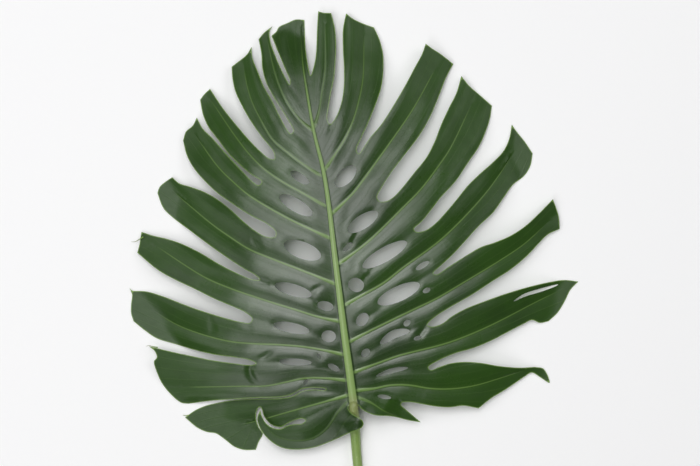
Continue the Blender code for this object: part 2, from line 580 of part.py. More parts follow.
def make_blade(collection):
    """The blade: the flat sheet bent to its heights, and given its thickness and ribs."""
    flat, faces = sheet()
    fields = blade_fields(flat)
    low = grounded(middle_heights(flat, fields) - THICKNESS / 2 - relief(fields, MIDRIB_DEPTH, VEIN_DEPTH))
    high = low + THICKNESS + relief(fields, MIDRIB_DEPTH, VEIN_DEPTH) + relief(fields, MIDRIB_RISE, VEIN_RISE)
    bm = bmesh.new()
    corners = [bm.verts.new((x, y, z)) for (x, y), z in zip(flat, high)]
    for face in faces:
        bm.faces.new([corners[k] for k in face])
    bm.verts.index_update()
    loose = [vert for vert in bm.verts if not vert.link_faces]
    bmesh.ops.delete(bm, geom=loose, context="VERTS")
    lows = {(round(x, 4), round(y, 4)): z for (x, y), z in zip(flat, low)}
    made = bmesh.ops.extrude_face_region(bm, geom=bm.faces[:])["geom"]
    for vert in made:
        if isinstance(vert, bmesh.types.BMVert):
            vert.co.z = lows[(round(vert.co.x, 4), round(vert.co.y, 4))]
    bmesh.ops.recalc_face_normals(bm, faces=bm.faces[:])
    bmesh.ops.scale(bm, vec=(MM, MM, MM), verts=bm.verts[:])
    mesh = bpy.data.meshes.new("blade")
    bm.to_mesh(mesh)
    bm.free()
    smooth(mesh)
    mesh.materials.append(material("blade green", BLADE_GREEN, 0.42))
    blade = bpy.data.objects.new("blade", mesh)
    collection.objects.link(blade)
    return blade


def make_petiole(collection):
    """The stalk: a round tube that swells into a knee under the blade and ends in a clean cut."""
    route = spline(STALK_ROUTE, STALK_STEP)
    marks = np.array([point[1] for point in STALK_ROUTE])
    curve = bpy.data.curves.new("petiole", "CURVE")
    curve.dimensions = "3D"
    curve.bevel_depth = MM
    curve.bevel_resolution = STALK_SIDES // 4 - 1
    curve.use_fill_caps = True
    tube = curve.splines.new("POLY")
    tube.points.add(len(route) - 1)
    for point, place in zip(tube.points, route):
        point.co = (*(place * MM), 1.0)
        point.radius = float(np.interp(-place[1], -marks, STALK_RADII))
    curve.materials.append(material("stalk green", STALK_GREEN, 0.5))
    petiole = bpy.data.objects.new("petiole", curve)
    collection.objects.link(petiole)
    weld = petiole.modifiers.new("caps", "WELD")
    weld.merge_threshold = CAP_WELD * MM
    return petiole


def main():
    for found in list(bpy.data.objects):
        bpy.data.objects.remove(found, do_unlink=True)
    leaf = bpy.data.collections.new("monstera_leaf")
    bpy.context.scene.collection.children.link(leaf)
    pieces = [make_blade(leaf), make_petiole(leaf)]
    scene_now = bpy.context.evaluated_depsgraph_get()
    corners = [piece.matrix_world @ vert.co for piece in pieces
               for vert in piece.evaluated_get(scene_now).to_mesh().vertices]
    low = [min(corner[k] for corner in corners) for k in range(3)]
    high = [max(corner[k] for corner in corners) for k in range(3)]
    for piece in pieces:
        piece.location = (-(low[0] + high[0]) / 2, -(low[1] + high[1]) / 2, -low[2])


main()
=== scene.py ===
"""A cut monstera leaf, dressed: a leathery blade with its ribs, slits and holes, on its pale stalk.

The blade is drawn flat, in millimetres from the point where the stalk joins it, +Y towards the apex
and +X to the right as the leaf is seen from above. Height fields bend the drawing, and the finished
pieces stand in metres where the frame's own solids stand.
"""
import math
from functools import partial

import bmesh
import bpy
import numpy as np
from bpy.props import FloatProperty, FloatVectorProperty, IntProperty, PointerProperty
from mathutils import Matrix, Vector
from mathutils.geometry import delaunay_2d_cdt
from mathutils.kdtree import KDTree


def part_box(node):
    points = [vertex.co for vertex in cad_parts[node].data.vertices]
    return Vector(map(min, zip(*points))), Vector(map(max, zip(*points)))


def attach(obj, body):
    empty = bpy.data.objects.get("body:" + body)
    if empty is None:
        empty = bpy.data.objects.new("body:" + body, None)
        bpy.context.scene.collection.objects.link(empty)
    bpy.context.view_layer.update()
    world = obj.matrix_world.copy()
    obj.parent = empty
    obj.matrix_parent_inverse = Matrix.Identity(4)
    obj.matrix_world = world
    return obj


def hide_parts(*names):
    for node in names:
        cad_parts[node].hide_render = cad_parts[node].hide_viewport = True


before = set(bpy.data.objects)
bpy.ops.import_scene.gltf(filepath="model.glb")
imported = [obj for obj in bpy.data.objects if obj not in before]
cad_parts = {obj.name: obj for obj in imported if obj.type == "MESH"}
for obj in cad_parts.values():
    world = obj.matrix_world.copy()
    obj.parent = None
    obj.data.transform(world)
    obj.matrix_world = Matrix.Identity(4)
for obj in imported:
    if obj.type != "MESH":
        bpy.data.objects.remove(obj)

bl_info = {
    "name": "Monstera Leaf",
    "version": (1, 0, 0),
    "blender": (4, 5, 0),
    "location": "3D View > Sidebar > Monstera",
    "description": "Builds a cut monstera leaf around its solids",
    "category": "Add Mesh",
}

MM = 0.001
BODY = "root"

# Blade form, in millimetres
MIDRIB_HALF_WIDTH = (4.3, 0.4)
MIDRIB_RISE = (2.4, 0.3)
MIDRIB_DEPTH = (3.6, 0.4)
VEIN_HALF_WIDTH = (1.5, 0.7)
VEIN_RISE = 0.5
VEIN_DEPTH = 1.1
FLOOR_BLEND = 1.6

# The blade swells beside each vein: the rise, the share of the way to the next lobe where it is full,
# the part of it lost again at the edge, and the distance from the midrib over which it grows
SWELL = 2.9
SWELL_FULL = 0.74
SWELL_LOST = 0.35
SWELL_GROWTH = 22.0

# The swelling and the rolled margin are full where the vein lies this far from the next lobe
FULL_SPAN = 24.0

# The margin of a free lobe rolls down from this share of its width on, and waves along the lobe
MARGIN_DROP = 3.2
MARGIN_START = 0.45
WAVE_RUN = 17.0
WAVE_SHIFT = 1.7

# A lobe begins to hang at its slit's end, and no later than this share of its vein
HANG_START = 0.6

# The left basal lobe rises over the stalk: the middle of the rise, its reach and its height
CLOSING_PLACE = (5.0, -15.0)
CLOSING_REACH = 13.0
CLOSING_RISE = 9.6

# Low swells of random run and direction, and the short waves of a free margin
RIPPLE_SEED = 5
RIPPLE_COUNT = 16
RIPPLE_RUNS = (20.0, 75.0)
FRILL_RUN = 8.5
HOLE_LIP_REACH = 2.6

# How closely the drawing is followed
OUTLINE_TOLERANCE = 0.06
CLEAR_OF_POINTS = 0.45
HOLE_SIDES = 40
COLLAR_SIDES = 10
SLIT_SAMPLES = 15
FINE_STEP = 1.0
LINE_STEP = 6.0
CLEAR_OF_ROWS = 0.3
VEIN_ROWS = (0.0, 0.5, 1.0, 1.5)
VEIN_STRETCH = 1.2
VEIN_ENDS_SHORT = 3.0
ROOT_SHORT = 4.0
SHARP_ANGLE = 50.0
WELD = 1e-4

# The steepest slope that is kept, and how often steeper ones are drawn out
STEEPEST = 0.6
EASE_ROUNDS = 60

# Lines are carried on this far past their ends, and a lobe with no neighbour has this much room
BEYOND = 80.0
OPEN_SIDE = 40.0

# Height of the midrib above the surface, by the distance towards the apex
ARCH = [(-60, 17), (0, 22), (60, 29), (140, 34), (220, 33), (290, 25), (340, 15), (395, 4)]
SIDE_FALL = 26.0
SIDE_REACH = 200.0

# Stalk sizes, in millimetres
STALK_ROUTE = [(0.4, 4.6, 23.9), (0.5, 3.4, 24.0), (0.6, 1.4, 23.8), (0.7, -2.8, 23.35), (1.2, -12, 18.1),
               (2.2, -28, 9.7), (3.4, -46, 5.7), (5.5, -70, 4.7), (10, -120, 4.55), (13, -180, 4.7),
               (12, -240, 4.95), (8, -300, 5.45)]
STALK_RADII = [1.6, 3.0, 4.3, 4.7, 5.4, 5.2, 4.8, 4.6, 4.6, 4.75, 5.0, 5.5]
STALK_FINE_STEP = 3.0
CUT_INSETS = [(0.25, 0.2), (0.8, -0.15), (1.2, 0.05)]

# The dry hooks at lobe ends: each hook's line, and its heights from its root to its point
TIP_STEP = 1.0
TIP_RADIUS = 0.6
TIP_POINT = 0.12
TIP_SIDES = 10
TIP_HOOKS = [
    ([(-211, 168), (-215, 165.5), (-219, 163.2), (-223, 163.2)], (5.0, 5.8)),
    ([(-221, 112.5), (-223.5, 114.3), (-225, 116.5)], (0.7, 1.5)),
    ([(-196.5, 56.8), (-201.5, 57.6), (-205, 58.6), (-208.5, 58)], (3.2, 4.2)),
    ([(-165.5, -11.6), (-168.5, -12.2), (-171.5, -11.4)], (0.7, 1.2)),
]

# Patterns of the blade, from cloudy to fine: how many to the metre, their detail and their roughness.
# Streaks are stretched along a vein and across it, in parts of a millimetre, and shifted lobe by lobe
BLADE_PATTERNS = [(14.0, 3.0), (90.0, 3.0, 0.6), (240.0, 3.0, 0.6), (900.0, 2.0)]
STREAKS = (0.012, 0.42, 3.7)
BUMP_HEIGHT = 0.0004

# The stage, in metres: how far the picture's middle lies from the blade's, and its level. Each light has
# its place from there, its size and its share of the strongest one's power
VIEW_SHIFT = (-0.0045, -0.0022, 0.0)
VIEW_LEVEL = 0.02
SENSOR = 36.0
FLOOR_HALF = 6.0
LIGHTS = [
    ("key", (-0.15, 0.70, 3.12), 1.5, 1.0),
    ("near", (-0.66, -0.34, 3.12), 1.3, 0.5),
    ("low", (-1.15, -2.00, 2.20), 1.5, 0.45),
    ("left", (-2.40, 0.00, 2.14), 1.8, 0.5),
    ("right", (2.20, 1.00, 2.10), 1.6, 0.5),
    ("top", (-0.39, 1.70, 2.68), 1.6, 0.3),
]

# The lobes, once round the leaf: up the left side from its base, the apex, and down the right side
LOBES = ["L10", "L9", "L8", "L7", "L6", "L5", "L4", "L3", "L2", "L1", "T",
         "R1", "R2", "R3", "R4", "R5", "R6", "R7", "R8", "R9"]

MIDRIB = [(0.7, 0), (-3, 29), (-9, 74), (-14, 115), (-19.5, 160), (-23.5, 195), (-29.5, 234), (-39, 273),
          (-46, 313), (-50.5, 344), (-52.5, 383)]

# The side vein of each lobe, from the midrib outwards
VEINS = {
    "L10": [(-4, 5), (-16, -8), (-25, -22), (-39, -33), (-58, -36), (-78, -31), (-90, -18)],
    "L9": [(-5, 10), (-26, 4), (-49, -2.5), (-72, -9.5), (-91, -15.5), (-115, -22)],
    "L8": [(-7, 25), (-26, 27), (-48, 27), (-67, 23), (-87, 19), (-113, 18.5), (-143, 17.5), (-173, 17)],
    "L7": [(-10, 51), (-28, 55), (-49, 58.5), (-73, 60.5), (-100, 61.5), (-126, 64), (-171, 77), (-203, 94)],
    "L6": [(-13, 84), (-33, 88), (-57, 95.5), (-80, 102.5), (-103, 110), (-126, 118), (-149, 128),
           (-203, 162)],
    "L5": [(-17, 121), (-34, 128), (-57, 137), (-80, 146), (-103, 155.5), (-123, 168), (-143, 182),
           (-185, 217)],
    "L4": [(-22, 166.5), (-42, 175.5), (-65, 186.5), (-103, 209), (-118, 221.5), (-135, 238), (-161, 274)],
    "L3": [(-28, 199), (-49, 211), (-72, 224), (-89, 236), (-103, 250), (-118, 269), (-146, 310)],
    "L2": [(-32.5, 229), (-49, 240), (-65, 252), (-80, 265), (-91, 283), (-101, 303), (-107, 323),
           (-110, 343)],
    "L1": [(-40, 274), (-52, 284), (-63, 298), (-72, 315), (-79, 335), (-87, 371)],
    "T": [(-43, 295), (-46, 313), (-50.5, 344), (-52.5, 383)],
    "R1": [(-38.5, 278), (-34, 293), (-31, 313), (-28, 335), (-28, 385)],
    "R2": [(-28, 235), (-18, 250), (-8, 266), (0, 284), (6, 305), (10, 327), (11, 373)],
    "R3": [(-21, 191.5), (-11, 200.5), (0, 211.5), (10, 224.5), (34, 258), (60, 296), (85, 341)],
    "R4": [(-13.5, 142), (0, 151.5), (17, 165), (51, 198.5), (68, 216), (84, 237), (97, 256), (121, 305)],
    "R5": [(-7, 101), (10, 110.5), (30, 122), (50, 137.5), (89, 166.5), (128, 206), (146, 229), (164, 257)],
    "R6": [(-3, 64), (17, 74.5), (60, 95.5), (83, 106.5), (107, 120.5), (151, 147), (173, 162), (199, 186)],
    "R7": [(1, 33), (7, 35.5), (27, 43), (47, 50), (87, 60), (107, 66.5), (137, 79), (187, 104), (213, 116)],
    "R8": [(4, 15), (20, 16.5), (38, 20), (56, 20), (77, 16.5), (99, 16), (122, 19), (147, 26), (174, 34.5)],
    "R9": [(4.5, 8), (18, 2.5), (31, -6), (47, -13)],
}

# The notch at the stalk: the left basal lobe closes over it, the right one stays short
SINUS_LEFT = [(-4, 0), (-4.8, -3), (-2, -7.5), (4, -11), (9, -14.5), (10.5, -18.5), (8, -22.5), (-3, -27.5),
              (-21, -36), (-40, -43), (-60, -45), (-72, -43), (-83.5, -36), (-92, -26), (-96, -15), (-93, -5)]
SINUS_RIGHT = [(68, -18), (56, -16), (38, -11.5), (22, -10), (13, -6.5), (8, -3), (5.4, 0)]
SINUS_MIDDLE = [(34, -90), (22, -40), (15, -16), (8, -8.5), (3, -3.5)]

# The slit between two neighbouring lobes: in along the first lobe's edge, round its end, and out
SLITS = {
    "L10_L9": [(-93, -5), (-91, -12.5), (-87, -19), (-81, -23.2), (-73, -24.4), (-65, -20.7), (-57, -19.3),
               (-51, -18.6), (-47.5, -15.3), (-51, -13.5), (-57, -15), (-63, -17.4), (-72.5, -22.6),
               (-80, -21.5), (-85.5, -17.6), (-89.4, -12), (-91.4, -5), (-93.2, -2.7), (-95.7, -4.2),
               (-97.8, -13), (-95.2, -23.5), (-91, -30.5), (-95, -38.5), (-98, -46.5)],
    "L9_L8": [(-169, -14), (-159.5, -7), (-148, -2), (-133, 1.5), (-118, 4), (-95, 5.5), (-72, 6.6), (-60, 9),
              (-50, 14.3), (-38, 15.6), (-28, 14.9), (-27, 16.2), (-38, 17.5), (-51, 16.2), (-62, 10.4),
              (-72, 8), (-95, 7), (-118, 5.4), (-141, 3.6), (-166, 0)],
    "L8_L7": [(-205, 58), (-196, 56), (-183, 53), (-166, 49.5), (-141, 44.5), (-118, 41.5), (-103, 40),
              (-97, 41.5), (-103, 45), (-117, 47.5), (-138, 50), (-159.5, 54.5), (-179, 60), (-198, 66),
              (-210, 74), (-221, 83)],
    "L7_L6": [(-224, 113.5), (-208.5, 113), (-192, 108.5), (-172, 101), (-150, 93.5), (-126, 86.5),
              (-111, 83), (-103, 82.5), (-100.5, 86.5), (-107, 92.5), (-116, 97), (-138, 106),
              (-159.5, 116.5), (-179, 125.5), (-196, 135), (-217, 152)],
    "L6_L5": [(-213, 173), (-202, 169.5), (-187, 166), (-172, 161), (-153, 152), (-134, 141), (-115, 131.5),
              (-101, 126), (-93, 125.5), (-98, 130.5), (-108, 136), (-126, 147.5), (-147, 162), (-166, 176),
              (-181, 187), (-191, 197), (-197, 212)],
    "L5_L4": [(-182, 228), (-175, 222), (-164, 218.5), (-149, 213), (-135, 205), (-122, 195), (-110, 184),
              (-98, 174.5), (-87, 168.5), (-78, 168), (-77, 173), (-85, 180.5), (-103, 190), (-120, 201),
              (-135, 211.5), (-147, 222.5), (-159, 236), (-167, 250), (-171, 265)],
    "L4_L3": [(-157, 288), (-151, 277), (-141, 267), (-126, 250), (-111, 234), (-101, 224), (-94, 219.5),
              (-91, 223), (-101, 230), (-114, 241), (-126, 253), (-134, 264), (-145, 278), (-151, 291),
              (-154, 306)],
    "L3_L2": [(-144, 317), (-138, 308), (-129, 295), (-116, 279), (-103, 264), (-92, 253), (-84, 246.5),
              (-78.5, 245.5), (-79, 252), (-92, 269), (-103, 285), (-111, 299), (-118, 314), (-121, 327),
              (-122, 339)],
    "L2_L1": [(-102, 359), (-101, 348), (-96, 335), (-89, 318), (-81, 304), (-73, 288), (-67, 277),
              (-62, 271), (-59.5, 273.5), (-64, 283), (-72, 296), (-80, 309), (-87, 323), (-91, 338),
              (-92, 352), (-95, 367)],
    "L1_T": [(-81, 380), (-84, 374.5), (-83, 364), (-78, 350), (-72, 336), (-67, 326), (-63.5, 320.5),
             (-63, 324), (-66.5, 333), (-72, 346), (-77.5, 359.5), (-82, 370.5)],
    "T_R1": [(-49, 386.5), (-48.5, 375), (-48, 362), (-46.5, 348), (-44.5, 337), (-42.5, 329.5), (-40, 336),
             (-37.5, 348), (-36.5, 362), (-36, 378), (-35, 395)],
    "R1_R2": [(-22, 393), (-18.5, 379), (-17, 362), (-17.5, 345), (-19, 327), (-22, 312), (-24.5, 297),
              (-25.5, 285), (-23, 280.5), (-18, 286), (-12.5, 299), (-9.5, 315), (-9, 335), (-10, 357),
              (-10, 377), (-7, 393)],
    "R2_R3": [(21, 379), (26.5, 367), (30, 353), (30.5, 337), (28.5, 319), (23.5, 303), (16, 284), (8, 266),
              (3.5, 255), (5.5, 251), (11, 258), (17, 267), (28, 280), (42, 302), (53, 321), (62, 338),
              (69, 351), (73, 362)],
    "R3_R4": [(101, 342), (97, 335), (93, 327), (89.5, 318), (84, 304), (77, 288), (66, 269), (50, 248),
              (38, 232), (29, 218), (24, 207.5), (26.5, 203.5), (33, 203.5), (40, 207.5), (49, 217),
              (61, 232), (73, 247), (81, 262), (88, 280), (96, 297), (104, 313), (109, 330)],
    "R4_R5": [(140, 300), (138, 288), (133, 273), (126, 258), (115, 242), (102, 223), (88, 208), (77, 194),
              (68, 183), (60.5, 176), (63, 173), (72, 174.5), (81, 180.5), (93, 193), (104, 206),
              (115, 219.5), (128, 232), (141, 243.5), (151, 254), (157, 266), (160, 281)],
    "R5_R6": [(181, 252), (178.5, 239), (172, 229), (161, 220.5), (151, 207), (140, 192), (126, 179),
              (113, 165), (99, 150), (87, 139), (80, 132), (83, 130.5), (95, 138), (110, 147.5),
              (127, 157.5), (143, 163), (158, 169.5), (172, 178.5), (186, 191), (201, 206)],
    "R6_R7": [(208, 176), (196, 170.5), (187, 162), (174, 148.5), (158, 135.5), (139, 123.5), (119, 110.5),
              (97, 98), (80, 87), (74, 80.5), (79, 78.5), (89, 81.5), (99, 89), (113, 96.5), (131, 103.5),
              (151, 110.5), (173, 117), (195, 122), (213, 124.5), (227, 123)],
    "R7_R8": [(197, 83), (188, 81.5), (180, 84.5), (171, 80.5), (154, 72), (137, 63.5), (119, 56.5),
              (101, 51.5), (85, 44.5), (75, 38), (77.5, 35), (86, 38), (97, 41.5), (111, 43), (127, 42),
              (147, 38.5), (167, 36.5), (183, 37)],
    "R8_R9": [(126, -4), (110, -1), (97, -2.5), (83, -1.5), (69, 1), (57, 3), (49, 2.5), (48, 0), (53, -5),
              (60, -11), (68, -18)],
}

# The hooked end of the left basal lobe lies in a notch of the next lobe: the middle of that narrow slit
HOOK_SLIT = [(-47.5, -15.5), (-57, -17), (-65, -19.5), (-73, -23.5), (-80.5, -22.3), (-86.2, -18.3),
             (-90.2, -12.2), (-92.2, -5), (-93.3, -3.6), (-95, -5), (-96.8, -10), (-97, -15), (-93.8, -24.5),
             (-88, -33), (-84, -41), (-84, -46)]

# The blunt end of each lobe, between the slit before it and the slit after it
TIPS = {
    "L9": [(-110, -46.5), (-120, -43), (-129, -36), (-138, -30), (-147, -28.5), (-157, -24)],
    "L8": [(-173, 1), (-182.5, 8.5), (-192, 20), (-198, 34), (-200, 43), (-197, 47), (-199, 53)],
    "L7": [(-223.5, 91), (-223.5, 100), (-222.5, 110)],
    "L6": [(-215, 160), (-214, 167)],
    "L5": [(-195, 218), (-189, 223.5)],
    "L4": [(-168, 274), (-161, 280)],
    "L3": [(-150, 311.5)],
    "L2": [(-115, 344.5), (-107, 351)],
    "L1": [(-89, 374)],
    "T": [(-77.5, 374.5), (-74.5, 379.5), (-66, 383.5), (-57.5, 387)],
    "R1": [(-30, 393.5)],
    "R2": [(0, 387.5), (11, 382.5)],
    "R3": [(79, 357.5), (88, 352)],
    "R4": [(117, 320), (127, 311.5)],
    "R5": [(165, 274), (173, 264)],
    "R6": [(204, 198), (207, 189)],
    "R7": [(219, 114.5), (213.5, 103.5), (206, 91.5)],
    "R8": [(192, 35), (198, 21), (188, 27), (180, 31.5), (172, 27), (154, 15), (138, 5.5)],
}

# Each hole: the slit or lobe that it belongs to, its width, and its long axis
HOLES = [
    ("L3_L2", 8.5, [(-62, 233), (-44, 221)]),
    ("L4_L3", 13, [(-73, 209), (-40.5, 190)]),
    ("L5_L4", 17, [(-68.5, 161.5), (-32, 148)]),
    ("L6_L5", 12, [(-78, 120.5), (-41, 110)]),
    ("L6_L5", 9.5, [(-35.5, 101), (-19.5, 97.5)]),
    ("L7_L6", 10.5, [(-79.5, 81), (-43.5, 74)]),
    ("L7_L6", 12, [(-31.5, 69.5), (-17, 68.5)]),
    ("L8_L7", 7, [(-74, 44), (-41, 42.5)]),
    ("L8_L7", 6, [(-25, 41), (-13.5, 34.5)]),
    ("L7", 3.6, [(-35, 51.5), (-32, 46.5)]),
    ("L8", 3.6, [(-49, 20.5), (-45.5, 25.5)]),
    ("R2_R3", 14.5, [(-17, 218.5), (2, 238)]),
    ("R3_R4", 14, [(-5, 173.5), (24.5, 192.5)]),
    ("R3_R4", 5, [(-9.5, 154.5), (-1, 162)]),
    ("R4_R5", 14.5, [(9.5, 138), (53.5, 163)]),
    ("R4_R5", 14, [(-4.5, 123), (10.5, 117.5)]),
    ("R5", 5.5, [(62.5, 135.5), (76, 143.5)]),
    ("R5_R6", 15.5, [(24.5, 102), (66.5, 121)]),
    ("R5_R6", 11, [(4.5, 80), (14, 91.5)]),
    ("R6", 5, [(69.5, 113), (77, 116.5)]),
    ("R6_R7", 8.5, [(27, 61.5), (41, 71), (56.5, 74.5)]),
    ("R6_R7", 7.5, [(9, 49), (16, 56)]),
    ("R6", 6, [(51, 79.5), (56.5, 85)]),
    ("R7", 4.2, [(60.5, 66), (68, 68.5)]),
    ("R7_R8", 5, [(23, 29), (37, 34), (55, 37.5)]),
    ("R8_R9", 4.4, [(24.5, 9.5), (38, 7)]),
    ("R7", 3.4, [(161, 103.5), (172, 109.5), (187, 114), (207, 120)]),
]

# How each lobe hangs: the height of its end (below 0 it is pressed flat on the surface), how far its
# apex side stands above its base side there, and the rise and fall of its waves
HANG = {
    "L10": (13, 4, 0), "L9": (-3, 4, 1.5), "L8": (4, 5, 1.5), "L7": (-3, 6, 2), "L6": (4, -5, 2),
    "L5": (-3, 6, 2), "L4": (5, 5, 1.5), "L3": (1, 4, 1.5), "L2": (6, 4, 1), "L1": (3, 3, 1),
    "T": (-3, 2, 1), "R1": (6, -3, 1), "R2": (2, 4, 1), "R3": (8, 5, 1.5), "R4": (3, 5, 2),
    "R5": (-3, 6, 2), "R6": (5, 5, 2), "R7": (-3, 6, 2), "R8": (4, 4, 2), "R9": (12, 3, 0),
}

# How plain the side vein of a lobe is, where it is fainter than the others
FAINT_VEINS = {"L10": 0.3, "L3": 0.75, "L2": 0.6, "L1": 0.5, "T": 0.0, "R1": 0.45, "R2": 0.75, "R9": 0.6}

# Creases and folded places in the blade: the line, its depth and its half width. A crease still has
# some depth at its ends, because its rise and fall stop at these shares of its length
CREASE_ENDS = (0.05, 0.95)
CREASES = [
    ([(-100, 125.8), (-90, 123.5), (-80, 120)], 1.2, 3.0),
    ([(-99, 43), (-104, 35), (-100, 26), (-95, 20)], 1.8, 3.0),
    ([(-96, 46), (-88, 49), (-79, 55)], 1.1, 2.6),
    ([(-143, 92), (-141, 82), (-141, 71)], 1.1, 3.0),
    ([(-101, 172), (-98, 163), (-92, 155)], 1.0, 3.2),
    ([(-43, 112), (-36, 117), (-29, 119)], 0.9, 2.6),
    ([(74, 80), (69, 74), (64, 67)], 1.4, 3.0),
    ([(-50, 15), (-30, 14), (-10, 12)], 1.4, 3.5),
    ([(-9, 390), (-11, 366), (-10, 342)], 1.2, 3.0),
]


def spline(points, step):
    """A smooth line through the points, with a point about every step."""
    knots = [np.array(p, float) for p in points]
    knots = [2 * knots[0] - knots[1]] + knots + [2 * knots[-1] - knots[-2]]
    line = []
    for before, start, end, after in zip(knots, knots[1:], knots[2:], knots[3:]):
        times = np.cumsum([0.0] + [math.sqrt(math.dist(a, b)) for a, b in
                                   ((before, start), (start, end), (end, after))])
        count = max(1, math.ceil(math.dist(start, end) / step))
        for t in np.linspace(times[1], times[2], count, endpoint=False):
            low = [a + (b - a) * (t - u) / (v - u) for a, b, u, v in
                   zip((before, start, end), (start, end, after), times, times[1:])]
            mid = [a + (b - a) * (t - u) / (v - u) for a, b, u, v in
                   zip(low, low[1:], times, times[2:])]
            line.append(mid[0] + (mid[1] - mid[0]) * (t - times[1]) / (times[2] - times[1]))
    line.append(knots[-2])
    return np.array(line)


def thinned(line, tolerance, longest):
    """The fewest of the line's points that stay within the tolerance of it, none too far apart."""
    if len(line) < 3:
        return [tuple(p) for p in line]
    start, end = line[0], line[-1]
    run = end - start
    length = math.hypot(*run)
    if length < WELD:
        away = np.hypot(*(line - start).T)
    else:
        away = np.abs(run[0] * (line[:, 1] - start[1]) - run[1] * (line[:, 0] - start[0])) / length
    split = int(away.argmax())
    if away[split] <= tolerance:
        if length <= longest:
            return [tuple(start), tuple(end)]
        split = len(line) // 2
    first = thinned(line[:split + 1], tolerance, longest)
    return first[:-1] + thinned(line[split:], tolerance, longest)


def measured(points, line):
    """How far each point lies from a line, on which side (+1 is its left) and how far along."""
    runs = np.diff(line, axis=0)
    lengths = np.hypot(*runs.T)
    runs /= lengths[:, None]
    corners = np.vstack([runs[:1], runs[:-1] + runs[1:], runs[-1:]])
    nearest = np.full(len(points), np.inf)
    side = np.zeros(len(points))
    along = np.zeros(len(points))
    walked = 0.0
    for index, (start, run, length) in enumerate(zip(line, runs, lengths)):
        offset = points - start
        part = np.clip(offset @ run, 0, length)
        away = offset - part[:, None] * run
        distance = np.hypot(*away.T)
        closer = distance < nearest
        ahead = np.where((part == 0)[:, None], corners[index], run)
        ahead = np.where((part == length)[:, None], corners[index + 1], ahead)
        turn = np.sign(ahead[:, 0] * away[:, 1] - ahead[:, 1] * away[:, 0])
        nearest = np.where(closer, distance, nearest)
        side = np.where(closer, turn, side)
        along = np.where(closer, walked + part, along)
        walked += length
    return nearest, side, along


def inside(points, loop):
    """Which points lie inside a closed loop."""
    found = np.zeros(len(points), bool)
    for (x0, y0), (x1, y1) in zip(loop, np.roll(loop, -1, axis=0)):
        if y0 == y1:
            continue
        crosses = (points[:, 1] < y0) != (points[:, 1] < y1)
        reach = x0 + (points[:, 1] - y0) * (x1 - x0) / (y1 - y0)
        found ^= crosses & (points[:, 0] < reach)
    return found


def ramp(value):
    """A smooth step from 0 to 1."""
    value = np.clip(value, 0, 1)
    return value * value * (3 - 2 * value)


def extended(line, length):
    """The line with its last stretch carried on."""
    last = line[-1] - line[-2]
    return np.vstack([line, line[-1] + last / math.hypot(*last) * length])


def distances(line):
    """How far along the line each of its points lies."""
    return np.concatenate([[0], np.cumsum(np.hypot(*np.diff(line, axis=0).T))])


def walked(line, place):
    """The point at a distance along the line, and the direction to the line's left there."""
    lengths = distances(line)
    here, ahead, behind = [np.array([np.interp(place + shift, lengths, line[:, k]) for k in (0, 1)])
                           for shift in (0, FINE_STEP, -FINE_STEP)]
    run = (ahead - behind) / math.dist(ahead, behind)
    return here, np.array([-run[1], run[0]])


MIDRIB_LINE = spline(MIDRIB, LINE_STEP)
MIDRIB_LENGTH = distances(MIDRIB_LINE)[-1]
VEIN_LINES = {lobe: spline(points, LINE_STEP) for lobe, points in VEINS.items()}
VEIN_LENGTHS = {lobe: distances(line)[-1] for lobe, line in VEIN_LINES.items()}


def hole_loop(width, axis):
    """A long oval round its axis."""
    line = spline(axis, FINE_STEP)
    loop = []
    for turn in np.arange(HOLE_SIDES) * 2 * math.pi / HOLE_SIDES:
        centre, aside = walked(line, (1 - math.cos(turn)) / 2 * distances(line)[-1])
        loop.append(centre + aside * width / 2 * math.sin(turn))
    return np.array(loop)


def outline_loop(longest):
    """The whole edge of the blade, once round, with no stretch longer than the longest."""
    slits = [SLITS[f"{lobe}_{following}"] for lobe, following in zip(LOBES, LOBES[1:])]
    runs = [SINUS_LEFT, slits[0]]
    for lobe, before, after in zip(LOBES[1:], slits, slits[1:]):
        runs += [before[-1:] + TIPS[lobe] + after[:1], after]
    edge = []
    for run in runs + [SINUS_RIGHT]:
        edge += thinned(spline(run, FINE_STEP), OUTLINE_TOLERANCE, longest)[:-1]
    collar = np.linspace(SINUS_RIGHT[-1], SINUS_LEFT[0], COLLAR_SIDES, endpoint=False)
    return np.vstack([edge, collar])


def dividing_line(lobe, following):
    """The line between two lobes: from the midrib through the holes and along the slit's middle.

    The slit's inner end is given too.
    """
    root = (np.array(VEINS[lobe][0]) + np.array(VEINS[following][0])) / 2
    if lobe == "L10":
        slit = np.array(HOOK_SLIT)
    else:
        run = spline(SLITS[f"{lobe}_{following}"], FINE_STEP)
        turn = int(np.hypot(*(run - root).T).argmin())
        near = run[turn::-1]
        near = near[np.linspace(0, len(near) - 1, SLIT_SAMPLES).round().astype(int)]
        facing = [int(np.hypot(*(run[turn:] - point).T).argmin()) for point in near]
        slit = (near + run[turn:][facing]) / 2
    centres = [np.mean(axis, axis=0) for owner, _, axis in HOLES if owner == f"{lobe}_{following}"]
    centres.sort(key=lambda centre: math.dist(centre, root))
    return extended(np.vstack([root, *centres, slit]), BEYOND), slit[0]


DIVIDERS, SLIT_ENDS = zip(*[dividing_line(lobe, following) for lobe, following in zip(LOBES, LOBES[1:])])
APEX = LOBES.index("T")


